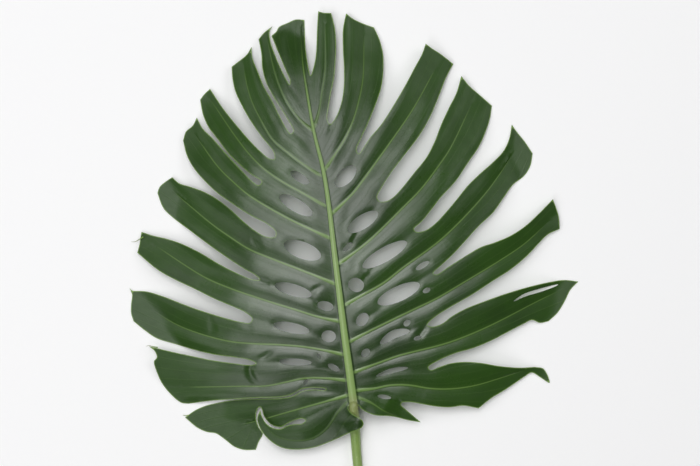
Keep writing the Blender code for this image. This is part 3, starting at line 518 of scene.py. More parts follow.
def lobe_of(points):
    """Which lobe each point belongs to, and how far it lies from every dividing line."""
    seam = np.vstack([SINUS_MIDDLE, extended(MIDRIB_LINE, BEYOND)])
    midrib_side = measured(points, seam)[1]
    owner = np.full(len(points), APEX)
    gaps = []
    for index, divider in enumerate(DIVIDERS):
        distance, side, _ = measured(points, divider)
        gaps.append(distance)
        if index < APEX:
            owner = np.where((midrib_side > 0) & (side > 0) & (owner == APEX), index, owner)
    for index in reversed(range(APEX, len(DIVIDERS))):
        side = measured(points, DIVIDERS[index])[1]
        owner = np.where((midrib_side <= 0) & (side < 0) & (owner == APEX), index + 1, owner)
    return owner, np.array(gaps)


def blade_fields(points):
    """The blade's own coordinates at each point: its lobe, across it, along it, and its veins."""
    owner, gaps = lobe_of(points)
    middle, midrib_side, up = measured(points, MIDRIB_LINE)
    across, along, aside, run, span = np.zeros((5, len(points)))
    for index, lobe in enumerate(LOBES):
        mine = owner == index
        if not mine.any():
            continue
        distance, side, walked = measured(points[mine], extended(VEIN_LINES[lobe], BEYOND))
        before = gaps[index - 1][mine] if index > 0 else OPEN_SIDE
        after = gaps[index][mine] if index < len(DIVIDERS) else OPEN_SIDE
        gap = np.where(side > 0, before, after)
        span[mine] = distance + gap
        across[mine] = distance / span[mine] * (-side if index < APEX else side)
        along[mine] = walked
        aside[mine] = distance * side
        run[mine] = walked / VEIN_LENGTHS[lobe]
    return {"owner": owner, "across": across, "along": along, "aside": aside, "run": run,
            "span": span, "vein": np.abs(aside), "middle": middle, "rib": middle * midrib_side, "up": up}


def slit_start(index):
    """How far along its vein a lobe comes free of both its neighbours and begins to hang."""
    ends = np.array(SLIT_ENDS[max(index - 1, 0):index + 1])
    start = measured(ends, VEIN_LINES[LOBES[index]])[2].max()
    return min(start, HANG_START * VEIN_LENGTHS[LOBES[index]])


def dome(points, middle):
    """The height of the blade before its lobes hang: arched along the midrib, falling to the sides."""
    arch = spline(ARCH, LINE_STEP)
    height = np.interp(points[:, 1], arch[:, 0], arch[:, 1])
    return height - SIDE_FALL * (middle / SIDE_REACH) ** 2


def ripples(points):
    """Low swells of random run and direction, from -1 to 1 or so."""
    draw = np.random.default_rng(RIPPLE_SEED)
    total = np.zeros(len(points))
    for _ in range(RIPPLE_COUNT):
        turn, shift = draw.uniform(0, 2 * math.pi, 2)
        run = draw.uniform(*RIPPLE_RUNS)
        ahead = points @ (math.cos(turn), math.sin(turn))
        total += run / RIPPLE_RUNS[1] * np.sin(2 * math.pi * ahead / run + shift)
    return total / math.sqrt(RIPPLE_COUNT / 2)


def middle_heights(points, fields, sizes):
    """The height of the blade's middle surface."""
    height = dome(points, fields["middle"])
    share = np.abs(fields["across"])
    swell = np.sin(math.pi / 2 * np.minimum(share / SWELL_FULL, 1)) * (1 - SWELL_LOST * share)
    wide = np.minimum(fields["span"] / FULL_SPAN, 1)
    height += SWELL * wide * ramp(fields["middle"] / SWELL_GROWTH) * swell
    for index, lobe in enumerate(LOBES):
        mine = fields["owner"] == index
        end_height, lean, wave = HANG[lobe]
        start = slit_start(index)
        length = VEIN_LENGTHS[lobe]
        free = ramp((fields["along"][mine] - start) / (length - start))
        tip = VEIN_LINES[lobe][-1:]
        drop = (end_height - dome(tip, measured(tip, MIDRIB_LINE)[0])[0]) * free
        side = fields["across"][mine]
        waves = wave * np.sin(fields["along"][mine] / WAVE_RUN + index * WAVE_SHIFT) * side
        rolled = MARGIN_DROP * ramp((np.abs(side) - MARGIN_START) / (1 - MARGIN_START))
        frill = sizes.frill / MM * np.sin(fields["along"][mine] / FRILL_RUN + index * side) * side ** 2
        height[mine] += drop + free * wide[mine] * (lean * side + waves + frill - rolled)
    away = np.hypot(*(points - CLOSING_PLACE).T)
    height += CLOSING_RISE * np.exp(-(away / CLOSING_REACH) ** 2)
    height += sizes.ripple / MM * ripples(points) * ramp(fields["middle"] / SWELL_GROWTH)
    for line, depth, width in CREASES:
        distance, _, along = measured(points, spline(line, LINE_STEP))
        part = np.clip(along / along.max(), *CREASE_ENDS)
        height -= depth * np.exp(-(distance / width) ** 2) * np.sin(math.pi * part)
    lip = np.exp(-(fields["hole"] / HOLE_LIP_REACH) ** 2)
    return height - sizes.hole_lip / MM * lip


def eased(points, faces, height):
    """Heights with every place that is steeper than skin can bend drawn out over its neighbours."""
    height = height.copy()
    edges = np.vstack([faces[:, [0, 1]], faces[:, [1, 2]], faces[:, [2, 0]]])
    edges = np.vstack([edges, edges[:, ::-1]])
    start, end = edges.T
    lengths = np.hypot(*(points[start] - points[end]).T)
    links = np.maximum(np.bincount(start, minlength=len(points)), 1)
    for _ in range(EASE_ROUNDS):
        steep = np.unique(start[np.abs(height[start] - height[end]) > STEEPEST * lengths])
        means = np.bincount(start, height[end], len(points)) / links
        height[steep] = (height[steep] + means[steep]) / 2
    return height


def grounded(height):
    """Heights that run out to 0 where the blade would sink below the surface."""
    blend = (height + FLOOR_BLEND) ** 2 / (4 * FLOOR_BLEND)
    return np.where(height > FLOOR_BLEND, height, np.where(height < -FLOOR_BLEND, 0.0, blend))


def half_width(half_widths, part):
    """The half width of a rib part of the way along it."""
    return half_widths[0] + (half_widths[1] - half_widths[0]) * np.clip(part, 0, 1)


def relief(fields, midrib_size, vein_size):
    """How far the midrib and the side veins stand out of the blade on one face."""
    part = fields["up"] / MIDRIB_LENGTH
    half = half_width(MIDRIB_HALF_WIDTH, part)
    size = midrib_size[0] + (midrib_size[1] - midrib_size[0]) * part
    middle = size * np.sqrt(np.clip(1 - (fields["middle"] / half) ** 2, 0, 1))
    part = np.clip(fields["run"], 0, 1)
    half = half_width(VEIN_HALF_WIDTH, part)
    side = vein_size * (1 - part) * np.clip(1 - (fields["vein"] / half) ** 2, 0, 1)
    return np.maximum(middle, side)


def vein_rows(line, half_widths, step):
    """Points in rows along a vein's crest and beside it."""
    length = distances(line)[-1]
    places = np.linspace(ROOT_SHORT, length - VEIN_ENDS_SHORT, max(2, round((length - ROOT_SHORT) / step)))
    stations = [(*walked(line, place), half_width(half_widths, place / length)) for place in places]
    shifts = sorted({row * way for row in VEIN_ROWS for way in (-1, 1)})
    return np.array([here + aside * half * shift for shift in shifts for here, aside, half in stations])


def nearest_distances(points, marks):
    """The distance from each point to the nearest of the marks."""
    tree = KDTree(len(marks))
    for index, (x, y) in enumerate(marks):
        tree.insert((x, y, 0.0), index)
    tree.balance()
    return np.array([tree.find((x, y, 0.0))[2] for x, y in points])


def flat_sheet(spacing):
    """The flat drawing cut into fine triangles, with each point's distance to an edge and to a hole."""
    edge = outline_loop(spacing)
    holes = [hole_loop(width, axis) for _, width, axis in HOLES]
    points = []
    links = []
    for loop in [edge] + holes:
        first = len(points)
        points += list(loop)
        links += [(first + k, first + (k + 1) % len(loop)) for k in range(len(loop))]
    rim = np.array(points)
    low, high = edge.min(axis=0), edge.max(axis=0)
    lines = np.arange(low[1], high[1], spacing * math.sqrt(3) / 2)
    grid = np.array([(x + spacing / 2 * (k % 2), y) for k, y in enumerate(lines)
                     for x in np.arange(low[0], high[0], spacing)])
    grid = grid[inside(grid, edge)]
    ribs = [(MIDRIB_LINE, MIDRIB_HALF_WIDTH, spacing)]
    ribs += [(VEIN_LINES[lobe], VEIN_HALF_WIDTH, spacing * VEIN_STRETCH) for lobe in LOBES if lobe != "T"]
    for line, half_widths, step in ribs:
        rows = vein_rows(line, half_widths, step)
        clear = inside(rows, edge) & (nearest_distances(rows, rim) > CLEAR_OF_POINTS * spacing)
        clear &= nearest_distances(rows, points) > CLEAR_OF_ROWS
        if line is not MIDRIB_LINE:
            away, _, up = measured(rows, MIDRIB_LINE)
            half = half_width(MIDRIB_HALF_WIDTH, up / MIDRIB_LENGTH)
            clear &= away > VEIN_ROWS[-1] * half + CLEAR_OF_ROWS
        points += list(rows[clear])
        away, _, along = measured(grid, line)
        half = half_width(half_widths, along / along.max())
        grid = grid[away > VEIN_ROWS[-1] * half + CLEAR_OF_POINTS * spacing]
    grid = grid[nearest_distances(grid, points) > CLEAR_OF_POINTS * spacing]
    points += list(grid)
    found, _, faces, *_ = delaunay_2d_cdt([tuple(p) for p in points], links, [], 0, WELD)
    found = np.array([tuple(v) for v in found])
    faces = np.array(faces)
    centres = found[faces].mean(axis=1)
    kept = inside(centres, edge)
    for loop in holes:
        kept &= ~inside(centres, loop)
    return found, faces[kept], nearest_distances(found, rim), nearest_distances(found, np.vstack(holes))


def blade_mesh(sizes):
    """The blade's mesh: the sheet bent to its heights, with a lower face, and its own coordinates."""
    flat, faces, edge, hole = flat_sheet(sizes.mesh_spacing / MM)
    fields = blade_fields(flat)
    fields["edge"] = edge
    fields["hole"] = hole
    fields["share"] = np.abs(fields["across"])
    fields["plain"] = np.array([FAINT_VEINS.get(lobe, 1.0) for lobe in LOBES])[fields["owner"]]
    thickness = sizes.thickness / MM
    rise = relief(fields, MIDRIB_RISE, VEIN_RISE)
    depth = relief(fields, MIDRIB_DEPTH, VEIN_DEPTH)
    low = grounded(eased(flat, faces, middle_heights(flat, fields, sizes)) - thickness / 2 - depth)
    heights = {0: low + thickness + depth + rise, 1: low}
    bm = bmesh.new()
    drawn = bm.verts.layers.int.new("drawn")
    under = bm.verts.layers.int.new("leaf_under")
    corners = []
    for index, (x, y) in enumerate(flat):
        corner = bm.verts.new((x, y, 0.0))
        corner[drawn] = index
        corners.append(corner)
    for face in faces:
        bm.faces.new([corners[k] for k in face])
    bmesh.ops.delete(bm, geom=[vert for vert in bm.verts if not vert.link_faces], context="VERTS")
    made = bmesh.ops.extrude_face_region(bm, geom=bm.faces[:])["geom"]
    for vert in made:
        if isinstance(vert, bmesh.types.BMVert):
            vert[under] = 1
    for vert in bm.verts:
        vert.co.z = heights[vert[under]][vert[drawn]]
    bmesh.ops.recalc_face_normals(bm, faces=bm.faces[:])
    bmesh.ops.scale(bm, vec=(MM, MM, MM), verts=bm.verts[:])
    mesh = mesh_of("blade_skin", bm)
    index = np.zeros(len(mesh.vertices), int)
    mesh.attributes["drawn"].data.foreach_get("value", index)
    for name in ("along", "aside", "vein", "run", "share", "middle", "rib", "up", "edge", "hole", "owner",
                 "plain"):
        layer = mesh.attributes.new(f"leaf_{name}", "FLOAT", "POINT")
        layer.data.foreach_set("value", fields[name][index].astype(np.float32))
    mesh.attributes.remove(mesh.attributes["drawn"])
    return mesh


def mesh_of(name, bm):
    """The mesh that a bmesh makes."""
    mesh = bpy.data.meshes.new(name)
    bm.to_mesh(mesh)
    bm.free()
    return mesh


def finished(mesh, material, node, *nodes):
    """The finished piece: moved from the drawing to where the frame's solids stand, in their place."""
    edge = outline_loop(LINE_STEP)
    low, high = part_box("blade")
    shift = (low + high) / 2 - Vector((*(edge.min(axis=0) + edge.max(axis=0)) / 2 * MM, 0.0))
    mesh.transform(Matrix.Translation((shift.x, shift.y, 0.0)))
    mesh.shade_smooth()
    mesh.set_sharp_from_angle(angle=math.radians(SHARP_ANGLE))
    mesh.materials.append(material)
    piece = bpy.data.objects.new(mesh.name, mesh)
    bpy.context.scene.collection.objects.link(piece)
    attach(piece, BODY)
    if nodes:
        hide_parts(*nodes)
    return piece


def tube(bm, route, radii, sides):
    """A tube drawn out along a route, ring by ring. Gives its first ring and its last one."""
    walked = bm.verts.layers.float.get("leaf_walked") or bm.verts.layers.float.new("leaf_walked")
    ring = bmesh.ops.create_circle(bm, cap_ends=False, segments=sides, radius=1.0)["verts"]
    first = set(ring)
    length = 0.0
    before = Matrix.Identity(4)
    for index, (place, radius) in enumerate(zip(route, radii)):
        ahead = route[min(index + 1, len(route) - 1)] - route[max(index - 1, 0)]
        turn = Vector(ahead).to_track_quat("-Z", "X").to_matrix().to_4x4()
        size = Matrix.Diagonal((radius * MM, radius * MM, radius * MM, 1.0))
        after = Matrix.Translation(Vector(place * MM)) @ turn @ size
        if index:
            length += math.dist(place, route[index - 1])
            last = set(ring)
            edges = [edge for edge in bm.edges if last.issuperset(edge.verts)]
            made = bmesh.ops.extrude_edge_only(bm, edges=edges)["geom"]
            ring = [vert for vert in made if isinstance(vert, bmesh.types.BMVert)]
        bmesh.ops.transform(bm, matrix=after @ before.inverted(), verts=ring)
        for vert in ring:
            vert[walked] = length
        before = after
    return first, set(ring)


def capped(bm, loop):
    """Fills a ring of points, and gives the fill."""
    rim = [edge for edge in bm.edges if loop.issuperset(edge.verts)]
    return bmesh.ops.edgeloop_fill(bm, edges=rim)["faces"]


def stalk_mesh(sizes):
    """The stalk: one ring drawn out along its route, swollen at the knee, with a clean cut at its end."""
    route = spline(STALK_ROUTE, STALK_FINE_STEP)
    marks = [-point[1] for point in STALK_ROUTE]
    bm = bmesh.new()
    cut = bm.verts.layers.float.new("leaf_cut")
    loops = tube(bm, route, np.interp(-route[:, 1], marks, STALK_RADII), sizes.stalk_sides)
    caps = [capped(bm, loop) for loop in loops]
    bmesh.ops.recalc_face_normals(bm, faces=bm.faces[:])
    for share, cap in enumerate(caps):
        skin = set(bm.verts)
        for thickness, depth in CUT_INSETS:
            bmesh.ops.inset_individual(bm, faces=cap, thickness=thickness * MM, depth=depth * MM)
        bmesh.ops.poke(bm, faces=cap)
        for vert in bm.verts:
            if vert not in skin:
                vert[cut] = share
    return mesh_of("stalk_skin", bm)


def tips_mesh():
    """The small dry hooks in which some lobes end."""
    bm = bmesh.new()
    for hook, height in TIP_HOOKS:
        line = spline(hook, TIP_STEP)
        route = np.column_stack([line, np.linspace(*height, len(line))])
        for loop in tube(bm, route, np.linspace(TIP_RADIUS, TIP_POINT, len(line)), TIP_SIDES):
            capped(bm, loop)
    bmesh.ops.recalc_face_normals(bm, faces=bm.faces[:])
    return mesh_of("lobe_tips", bm)


class Reading:
    """What a node gives, so that shader maths reads as arithmetic."""

    def __init__(self, finish, output):
        self.finish = finish
        self.output = output

    def __add__(self, other):
        return self.finish.maths("ADD", self, other)

    __radd__ = __add__

    def __sub__(self, other):
        return self.finish.maths("SUBTRACT", self, other)

    def __rsub__(self, other):
        return self.finish.maths("SUBTRACT", other, self)

    def __mul__(self, other):
        return self.finish.maths("MULTIPLY", self, other)

    __rmul__ = __mul__

    def __truediv__(self, other):
        return self.finish.maths("DIVIDE", self, other)


class Finish:
    """A surface finish: a material, and the nodes that vary it over the surface."""

    def __init__(self, name, **uniform):
        self.material = bpy.data.materials.new(name)
        self.material.use_nodes = True
        self.tree = self.material.node_tree
        self.surface = self.tree.nodes["Principled BSDF"]
        for socket, value in uniform.items():
            self.surface.inputs[socket.replace("_", " ")].default_value = value

    def feed(self, socket, value):
        """Links a reading to a socket, or sets the socket to a number, vector or colour."""
        if isinstance(value, Reading):
            self.tree.links.new(value.output, socket)
        elif hasattr(value, "__len__") and len(socket.default_value) > len(value):
            socket.default_value = (*value, 1.0)
        else:
            socket.default_value = value

    def node(self, kind, settings=(), sockets=(), output=0):
        """A node of any kind. Its settings are made first, then its sockets are set or linked."""
        made = self.tree.nodes.new(kind)
        for name, value in dict(settings).items():
            setattr(made, name, value)
        for key, value in dict(sockets).items():
            self.feed(made.inputs[key], value)
        return Reading(self, made.outputs[output])

    def maths(self, operation, *values):
        return self.node("ShaderNodeMath", {"operation": operation}, enumerate(values))

    def attributes(self, *names):
        """The piece's own coordinates of those names."""
        return [self.node("ShaderNodeAttribute", {"attribute_name": f"leaf_{name}"}, output=2)
                for name in names]

    def place(self, scale=(1.0, 1.0, 1.0)):
        """The place on the piece, in metres, stretched by a scale."""
        there = self.node("ShaderNodeTexCoord", output=3)
        return self.node("ShaderNodeMapping", {"vector_type": "POINT"}, {"Vector": there, "Scale": scale})

    def point(self, x, y, z):
        return self.node("ShaderNodeCombineXYZ", {}, {0: x, 1: y, 2: z})

    def step(self, value, start, end):
        """A smooth step: 0 at the start, 1 at the end, which may be the lower one."""
        limits = {"Value": value, "From Min": start, "From Max": end}
        return self.node("ShaderNodeMapRange", {"interpolation_type": "SMOOTHSTEP"}, limits)

    def noise(self, vector, scale, detail=2.0, roughness=0.5):
        """Soft random cloud, about 0.5 in the mean."""
        pattern = {"Vector": vector, "Scale": scale, "Detail": detail, "Roughness": roughness}
        return self.node("ShaderNodeTexNoise", {}, pattern)

    def mix(self, factor, first, second):
        """Two colours mixed."""
        settings = {"data_type": "RGBA", "clamp_factor": True}
        return self.node("ShaderNodeMix", settings, {0: factor, 6: first, 7: second}, output=2)

    def layers(self, colour, *coats):
        """A colour with others laid over it, each by its own factor."""
        for factor, other in coats:
            colour = self.mix(factor, colour, other)
        return colour

    def bump(self, height, distance, strength):
        relief = {"Height": height, "Distance": distance, "Strength": strength}
        return self.node("ShaderNodeBump", {}, relief)

    def coat(self, **readings):
        """Feeds the surface, and gives the material."""
        for socket, reading in readings.items():
            self.feed(self.surface.inputs[socket.replace("_", " ")], reading)
        return self.material


def blade_finish(looks):
    """Leathery leaf skin: deep green, with pale ribs, fine lines, a pale rim and a dull paler underside, and
    painted shade on the midrib's sides and in the groove beside it.
    """
    skin = Finish("monstera_skin", Coat_Roughness=0.28, IOR=1.33)
    along, aside, vein, run, share = skin.attributes("along", "aside", "vein", "run", "share")
    middle, rib, up, owner, plain = skin.attributes("middle", "rib", "up", "owner", "plain")
    edge, hole, under = skin.attributes("edge", "hole", "under")
    place = skin.place()
    cloud, mottle, crinkle, grain = [skin.noise(place, *pattern) for pattern in BLADE_PATTERNS]
    reach = skin.maths("MINIMUM", skin.maths("MAXIMUM", run, 0.0), 1.0)
    half = MIDRIB_HALF_WIDTH[0] + up * ((MIDRIB_HALF_WIDTH[1] - MIDRIB_HALF_WIDTH[0]) / MIDRIB_LENGTH)
    shoulder = middle / half
    seam_free = skin.step(share, 0.98, 0.86) * skin.step(shoulder, 1.0, 1.7)
    lengthwise, crosswise, shift = STREAKS
    streak = skin.noise(skin.point(along * lengthwise, aside * crosswise, owner * shift), 1.0, 3.0, 0.6)
    lines = skin.maths("PINGPONG", share * 4.0 + cloud * 0.25, 0.5)
    side_lines = skin.step(lines, 0.07, 0.0) * seam_free * skin.step(vein, 1.5, 4.0)
    fresh = skin.step(cloud + reach * 0.45 + (streak - 0.5) * seam_free * 0.3, 0.35, 0.95)
    halo = skin.step(vein, 4.5, 0.6) * (1.0 - reach) * plain * 0.14 + side_lines * 0.07
    width = 0.95 - reach * 0.5 + skin.step(along, 24.0, 4.0) * 0.8
    crest = skin.step(vein / width, 1.25, 0.6) * plain * skin.step(run, 0.98, 0.88)
    ribbed = skin.step(shoulder, 1.04, 0.8) * skin.step(up, 385.0, 290.0)
    fibre = skin.noise(skin.point(up * 0.02, rib * 1.1, 0.0), 1.0, 3.0, 0.6)
    # Painted shade: the rounded sides of the midrib are darkened towards the vein green; the fibre streaks
    # over it are its own
    painted_flank_shade = skin.step(shoulder, 0.45, 1.0)
    rib_green_with_shade = skin.layers(looks.midrib, ((fibre - 0.3) * 0.7 + painted_flank_shade * 0.5, looks.vein),
                            (skin.step(up, 60.0, 300.0) * 0.75, looks.vein),
                            (skin.step(up + (cloud - 0.5) * 14.0, 17.0, 1.0) * 0.85, looks.knee))
    # Painted shade: the blade is darkened in the groove just beside the midrib, where shade falls
    painted_groove_shade = skin.step(shoulder, 1.6, 1.05) * skin.step(up, 330.0, 200.0)
    rim = skin.step(edge, 1.1, 0.3) * skin.step(hole, 0.8, 2.5)
    green = skin.layers(looks.blade_deep, (fresh, looks.blade_fresh),
                        ((mottle - 0.35) * 0.5, looks.blade_flecks_and_shade), (halo, looks.vein),
                        (crest * (0.95 - reach * 0.55), looks.vein), (painted_groove_shade * 0.5, looks.blade_flecks_and_shade),
                        (ribbed, rib_green_with_shade), (rim * (1.0 - ribbed) * 0.65, looks.rim))
    pale = skin.layers(looks.underside, ((streak - 0.4) * 0.6, looks.vein),
                       (skin.maths("MAXIMUM", crest, ribbed) * 0.8, looks.midrib))
    colour = skin.mix(under, green, pale)
    roughness = looks.gloss + (mottle - 0.5) * 0.16 + crest * 0.1 + under * 0.2 + (streak - 0.5) * 0.06
    roughness = roughness + skin.step(reach, 0.55, 1.0) * 0.12
    worn = skin.step(reach - skin.step(up, 170.0, 60.0) * 0.3, 0.1, 0.65)
    waxy = (1.0 - worn * 0.9) * (0.15 + skin.step(up, 0.0, 30.0) * 0.85)
    waxy = waxy * (1.0 - skin.step(up, 90.0, 230.0) * 0.5)
    waxy = waxy * (1.0 - under) * looks.wax
    off_rib = 1.0 - ribbed
    height = (side_lines * 0.25 + (streak - 0.5) * seam_free * 0.2 + (mottle - 0.5) * off_rib * 0.4
              + (crinkle - 0.5) * off_rib * 0.45 + (fibre - 0.5) * ribbed * 0.4 + (grain - 0.5) * 0.06)
    normal = skin.bump(height, BUMP_HEIGHT, looks.bump)
    return skin.coat(Base_Color=colour, Roughness=roughness, Coat_Weight=waxy, Normal=normal)


def stalk_finish(looks):
    """Smooth pale green stalk with fine lengthwise fibres, a tan knee, specks and a pale cut face."""
    skin = Finish("stalk_skin", Coat_Weight=0.15, Coat_Roughness=0.3, IOR=1.45)
    place = skin.place()
    length, cut = skin.attributes("walked", "cut")
    fibre = skin.noise(skin.place((1.0, 0.035, 1.0)), 900.0, 3.0, 0.6)
    cloud = skin.noise(place, 40.0, 3.0)
    specks = skin.step(skin.noise(skin.place((1.0, 0.45, 1.0)), 520.0, 1.0), 0.68, 0.74)
    knee = skin.step(length + (cloud - 0.5) * 14.0, 34.0, 8.0)
    green = skin.layers(looks.stalk, ((fibre - 0.3) * 0.8, looks.stalk_deep),
                        (skin.step(cloud, 0.45, 0.75) * 0.35, looks.vein), (knee * 0.8, looks.knee),
                        (specks * 0.35, looks.cut_face))
    wrinkle = skin.noise(skin.place((0.4, 2.2, 0.4)), 700.0, 2.0)
    pith = skin.node("ShaderNodeTexVoronoi", {"feature": "F1"}, {"Vector": place, "Scale": 900.0})
    bundles = skin.step(pith, 0.34, 0.2)
    face = skin.mix(bundles * 0.7, looks.cut_face, looks.stalk_deep)
    colour = skin.mix(skin.step(cut, 0.4, 0.7), green, face)
    height = (fibre - 0.5) * 0.5 + knee * (wrinkle - 0.5) * 0.9 + cut * bundles * 0.4
    roughness = 0.42 + (fibre - 0.5) * 0.15 + cut * 0.25
    return skin.coat(Base_Color=colour, Roughness=roughness, Normal=skin.bump(height, BUMP_HEIGHT, 0.7))


def tip_finish(looks):
    """Dry tissue: pale at the root of the hook and brown at its point."""
    skin = Finish("tip_skin", Specular_IOR_Level=0.3)
    length, = skin.attributes("walked")
    spots = skin.noise(skin.place(), 700.0, 2.0)
    colour = skin.mix(skin.step(length + (spots - 0.5) * 3.0, 2.0, 9.0), looks.rim, looks.knee)
    roughness = 0.55 + (spots - 0.5) * 0.2
    return skin.coat(Base_Color=colour, Roughness=roughness, Normal=skin.bump(spots, BUMP_HEIGHT / 2, 0.5))


def floor_finish(looks):
    """A plain pale sheet with the faintest tooth."""
    paper = Finish("floor_paper", Specular_IOR_Level=0.2)
    tooth = paper.noise(paper.place(), 220.0, 3.0)
    colour = paper.mix((tooth - 0.5) * 0.06, looks.floor, (0.7, 0.7, 0.7))
    return paper.coat(Base_Color=colour, Roughness=0.85)


LengthProperty = partial(FloatProperty, unit="LENGTH", precision=4)
ColourProperty = partial(FloatVectorProperty, subtype="COLOR", min=0.0, max=1.0)


class LeafSizes(bpy.types.PropertyGroup):
    """Sizes of the finished blade and stalk."""

    thickness: LengthProperty(
        name="Blade thickness", description="Thickness of the blade between its ribs",
        default=0.0009, min=0.0003, max=0.0012)
    mesh_spacing: LengthProperty(
        name="Mesh spacing", description="Distance between the blade's points",
        default=0.0021, min=0.0018, max=0.02)
    ripple: LengthProperty(
        name="Ripple", description="Height of the blade's low random swells",
        default=0.0003, min=0.0, max=0.003)
    frill: LengthProperty(
        name="Frill", description="Height of the short waves along a free margin",
        default=0.0004, min=0.0, max=0.003)
    hole_lip: LengthProperty(
        name="Hole lip", description="How far the rim of a hole turns down",
        default=0.0004, min=0.0, max=0.002)
    stalk_sides: IntProperty(
        name="Stalk sides", description="Points round the stalk", default=40, min=8, max=64)


class LeafLooks(bpy.types.PropertyGroup):
    """Colours and gloss of the leaf, and the floor's colour."""

    blade_deep: ColourProperty(
        name="Blade", description="Deep green of the blade's middle", default=(0.019, 0.042, 0.011))
    blade_fresh: ColourProperty(
        name="Blade ends", description="Fresher green of the lobes' ends", default=(0.026, 0.068, 0.010))
    # Dark green of the flecks between the finest veins, also laid as painted shade in the groove beside the
    # midrib
    blade_flecks_and_shade: ColourProperty(
        name="Blade flecks", description="Dark green between the finest veins", default=(0.008, 0.023, 0.004))
    # Also darkens the sides of the midrib as painted shade
    vein: ColourProperty(
        name="Veins", description="Yellow green of the side veins", default=(0.135, 0.235, 0.055))
    midrib: ColourProperty(
        name="Midrib", description="Pale yellow green of the midrib", default=(0.26, 0.38, 0.13))
    rim: ColourProperty(
        name="Rim", description="Pale line round the blade's edge", default=(0.22, 0.36, 0.08))
    underside: ColourProperty(
        name="Underside", description="Paler green of the lower face", default=(0.10, 0.20, 0.055))
    stalk: ColourProperty(
        name="Stalk", description="Pale green of the stalk", default=(0.25, 0.36, 0.10))
    stalk_deep: ColourProperty(
        name="Stalk fibres", description="Deeper green of the stalk's fibres", default=(0.12, 0.22, 0.045))
    knee: ColourProperty(
        name="Knee", description="Tan green of the swollen knee", default=(0.22, 0.25, 0.09))
    cut_face: ColourProperty(
        name="Cut face", description="Cream green of the stalk's cut end", default=(0.48, 0.55, 0.30))
    floor: ColourProperty(
        name="Floor", description="Plain pale floor", default=(0.93, 0.93, 0.935))
    wax: FloatProperty(
        name="Wax", description="Share of the waxy coat by the midrib", default=0.65, min=0.0, max=1.0)
    gloss: FloatProperty(
        name="Roughness", description="Mean roughness of the blade", default=0.28, min=0.1, max=0.9)
    bump: FloatProperty(
        name="Bump", description="Strength of the blade's fine relief", default=0.6, min=0.0, max=2.0)


class StageSettings(bpy.types.PropertyGroup):
    """The camera, the light and the floor."""

    camera_height: LengthProperty(
        name="Camera height", description="Height of the camera above the floor",
        default=2.6, min=0.8, max=6.0)
    view_width: LengthProperty(
        name="View width", description="Width of the picture at the leaf",
        default=0.7, min=0.2, max=2.0)
    power: FloatProperty(
        name="Light", description="Power of the strongest of the soft lights",
        default=39.5, min=0.0, unit="POWER")
    sky: FloatProperty(
        name="Sky", description="Strength of the even light from all round", default=0.03, min=0.0, max=3.0)


class MONSTERA_OT_blade(bpy.types.Operator):
    """Build the blade with its ribs, slits and holes"""

    bl_idname = "monstera.blade"
    bl_label = "Blade"

    def execute(self, context):
        scene = context.scene
        finished(blade_mesh(scene.monstera_sizes), blade_finish(scene.monstera_looks), "blade", "blade")
        return {"FINISHED"}


class MONSTERA_OT_stalk(bpy.types.Operator):
    """Build the stalk with its knee and its cut end"""

    bl_idname = "monstera.stalk"
    bl_label = "Stalk"

    def execute(self, context):
        scene = context.scene
        finished(stalk_mesh(scene.monstera_sizes), stalk_finish(scene.monstera_looks), "petiole", "petiole")
        return {"FINISHED"}


class MONSTERA_OT_tips(bpy.types.Operator):
    """Build the small dry hooks at the ends of the lobes"""

    bl_idname = "monstera.tips"
    bl_label = "Lobe Tips"

    def execute(self, context):
        finished(tips_mesh(), tip_finish(context.scene.monstera_looks), "blade")
        return {"FINISHED"}


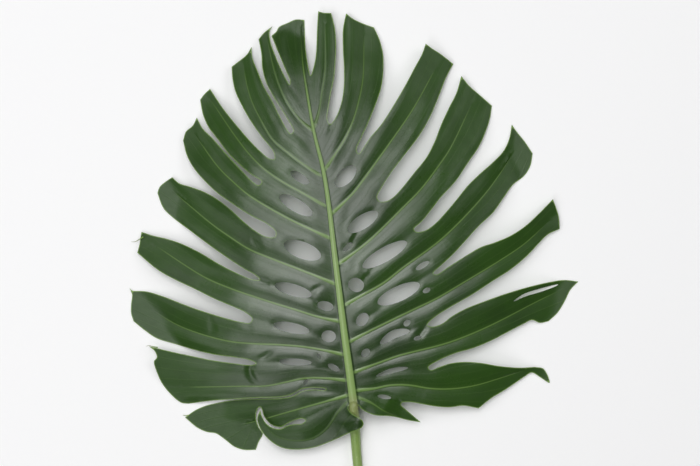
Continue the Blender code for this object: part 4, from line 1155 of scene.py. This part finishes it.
class MONSTERA_OT_stage(bpy.types.Operator):
    """Lay the floor and set up the light and the camera"""

    bl_idname = "monstera.stage"
    bl_label = "Stage"

    def execute(self, context):
        scene = context.scene
        stage = scene.monstera_stage
        bm = bmesh.new()
        bmesh.ops.create_grid(bm, x_segments=1, y_segments=1, size=FLOOR_HALF)
        mesh = mesh_of("floor", bm)
        mesh.materials.append(floor_finish(scene.monstera_looks))
        floor = bpy.data.objects.new("floor", mesh)
        scene.collection.objects.link(floor)
        low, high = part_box("blade")
        target = (low + high) / 2 + Vector(VIEW_SHIFT)
        target.z = VIEW_LEVEL
        for name, spot, size, share in LIGHTS:
            light = bpy.data.lights.new(name, "AREA")
            light.energy = stage.power * share
            light.shape = "SQUARE"
            light.size = size
            lamp = bpy.data.objects.new(name, light)
            lamp.location = target + Vector(spot)
            lamp.rotation_euler = (-Vector(spot)).to_track_quat("-Z", "Y").to_euler()
            scene.collection.objects.link(lamp)
        world = bpy.data.worlds.new("even_light")
        world.use_nodes = True
        sky = world.node_tree.nodes["Background"]
        sky.inputs["Color"].default_value = (1.0, 1.0, 1.0, 1.0)
        sky.inputs["Strength"].default_value = stage.sky
        scene.world = world
        lens = bpy.data.cameras.new("camera")
        lens.sensor_width = SENSOR
        lens.lens = SENSOR * (stage.camera_height - VIEW_LEVEL) / stage.view_width
        camera = bpy.data.objects.new("camera", lens)
        camera.location = (target.x, target.y, stage.camera_height)
        scene.collection.objects.link(camera)
        scene.camera = camera
        scene.view_settings.view_transform = "Standard"
        return {"FINISHED"}


class MONSTERA_PT_panel(bpy.types.Panel):
    """The leaf's sizes and colours, and the buttons that build it"""

    bl_label = "Monstera Leaf"
    bl_space_type = "VIEW_3D"
    bl_region_type = "UI"
    bl_category = "Monstera"

    def draw(self, context):
        scene = context.scene
        for settings in (scene.monstera_sizes, scene.monstera_looks, scene.monstera_stage):
            column = self.layout.column()
            for name in settings.__annotations__:
                column.prop(settings, name)
        for cls in CLASSES:
            if issubclass(cls, bpy.types.Operator):
                self.layout.operator(cls.bl_idname)


CLASSES = (LeafSizes, LeafLooks, StageSettings, MONSTERA_OT_blade, MONSTERA_OT_stalk, MONSTERA_OT_tips,
           MONSTERA_OT_stage, MONSTERA_PT_panel)


def register():
    for cls in CLASSES:
        bpy.utils.register_class(cls)
    bpy.types.Scene.monstera_sizes = PointerProperty(type=LeafSizes)
    bpy.types.Scene.monstera_looks = PointerProperty(type=LeafLooks)
    bpy.types.Scene.monstera_stage = PointerProperty(type=StageSettings)


def unregister():
    del bpy.types.Scene.monstera_stage
    del bpy.types.Scene.monstera_looks
    del bpy.types.Scene.monstera_sizes
    for cls in reversed(CLASSES):
        bpy.utils.unregister_class(cls)


def main():
    """Builds every piece and the stage."""
    register()
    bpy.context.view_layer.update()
    bpy.ops.monstera.blade()
    bpy.ops.monstera.stalk()
    bpy.ops.monstera.tips()
    bpy.ops.monstera.stage()


if __name__ == "__main__":
    main()
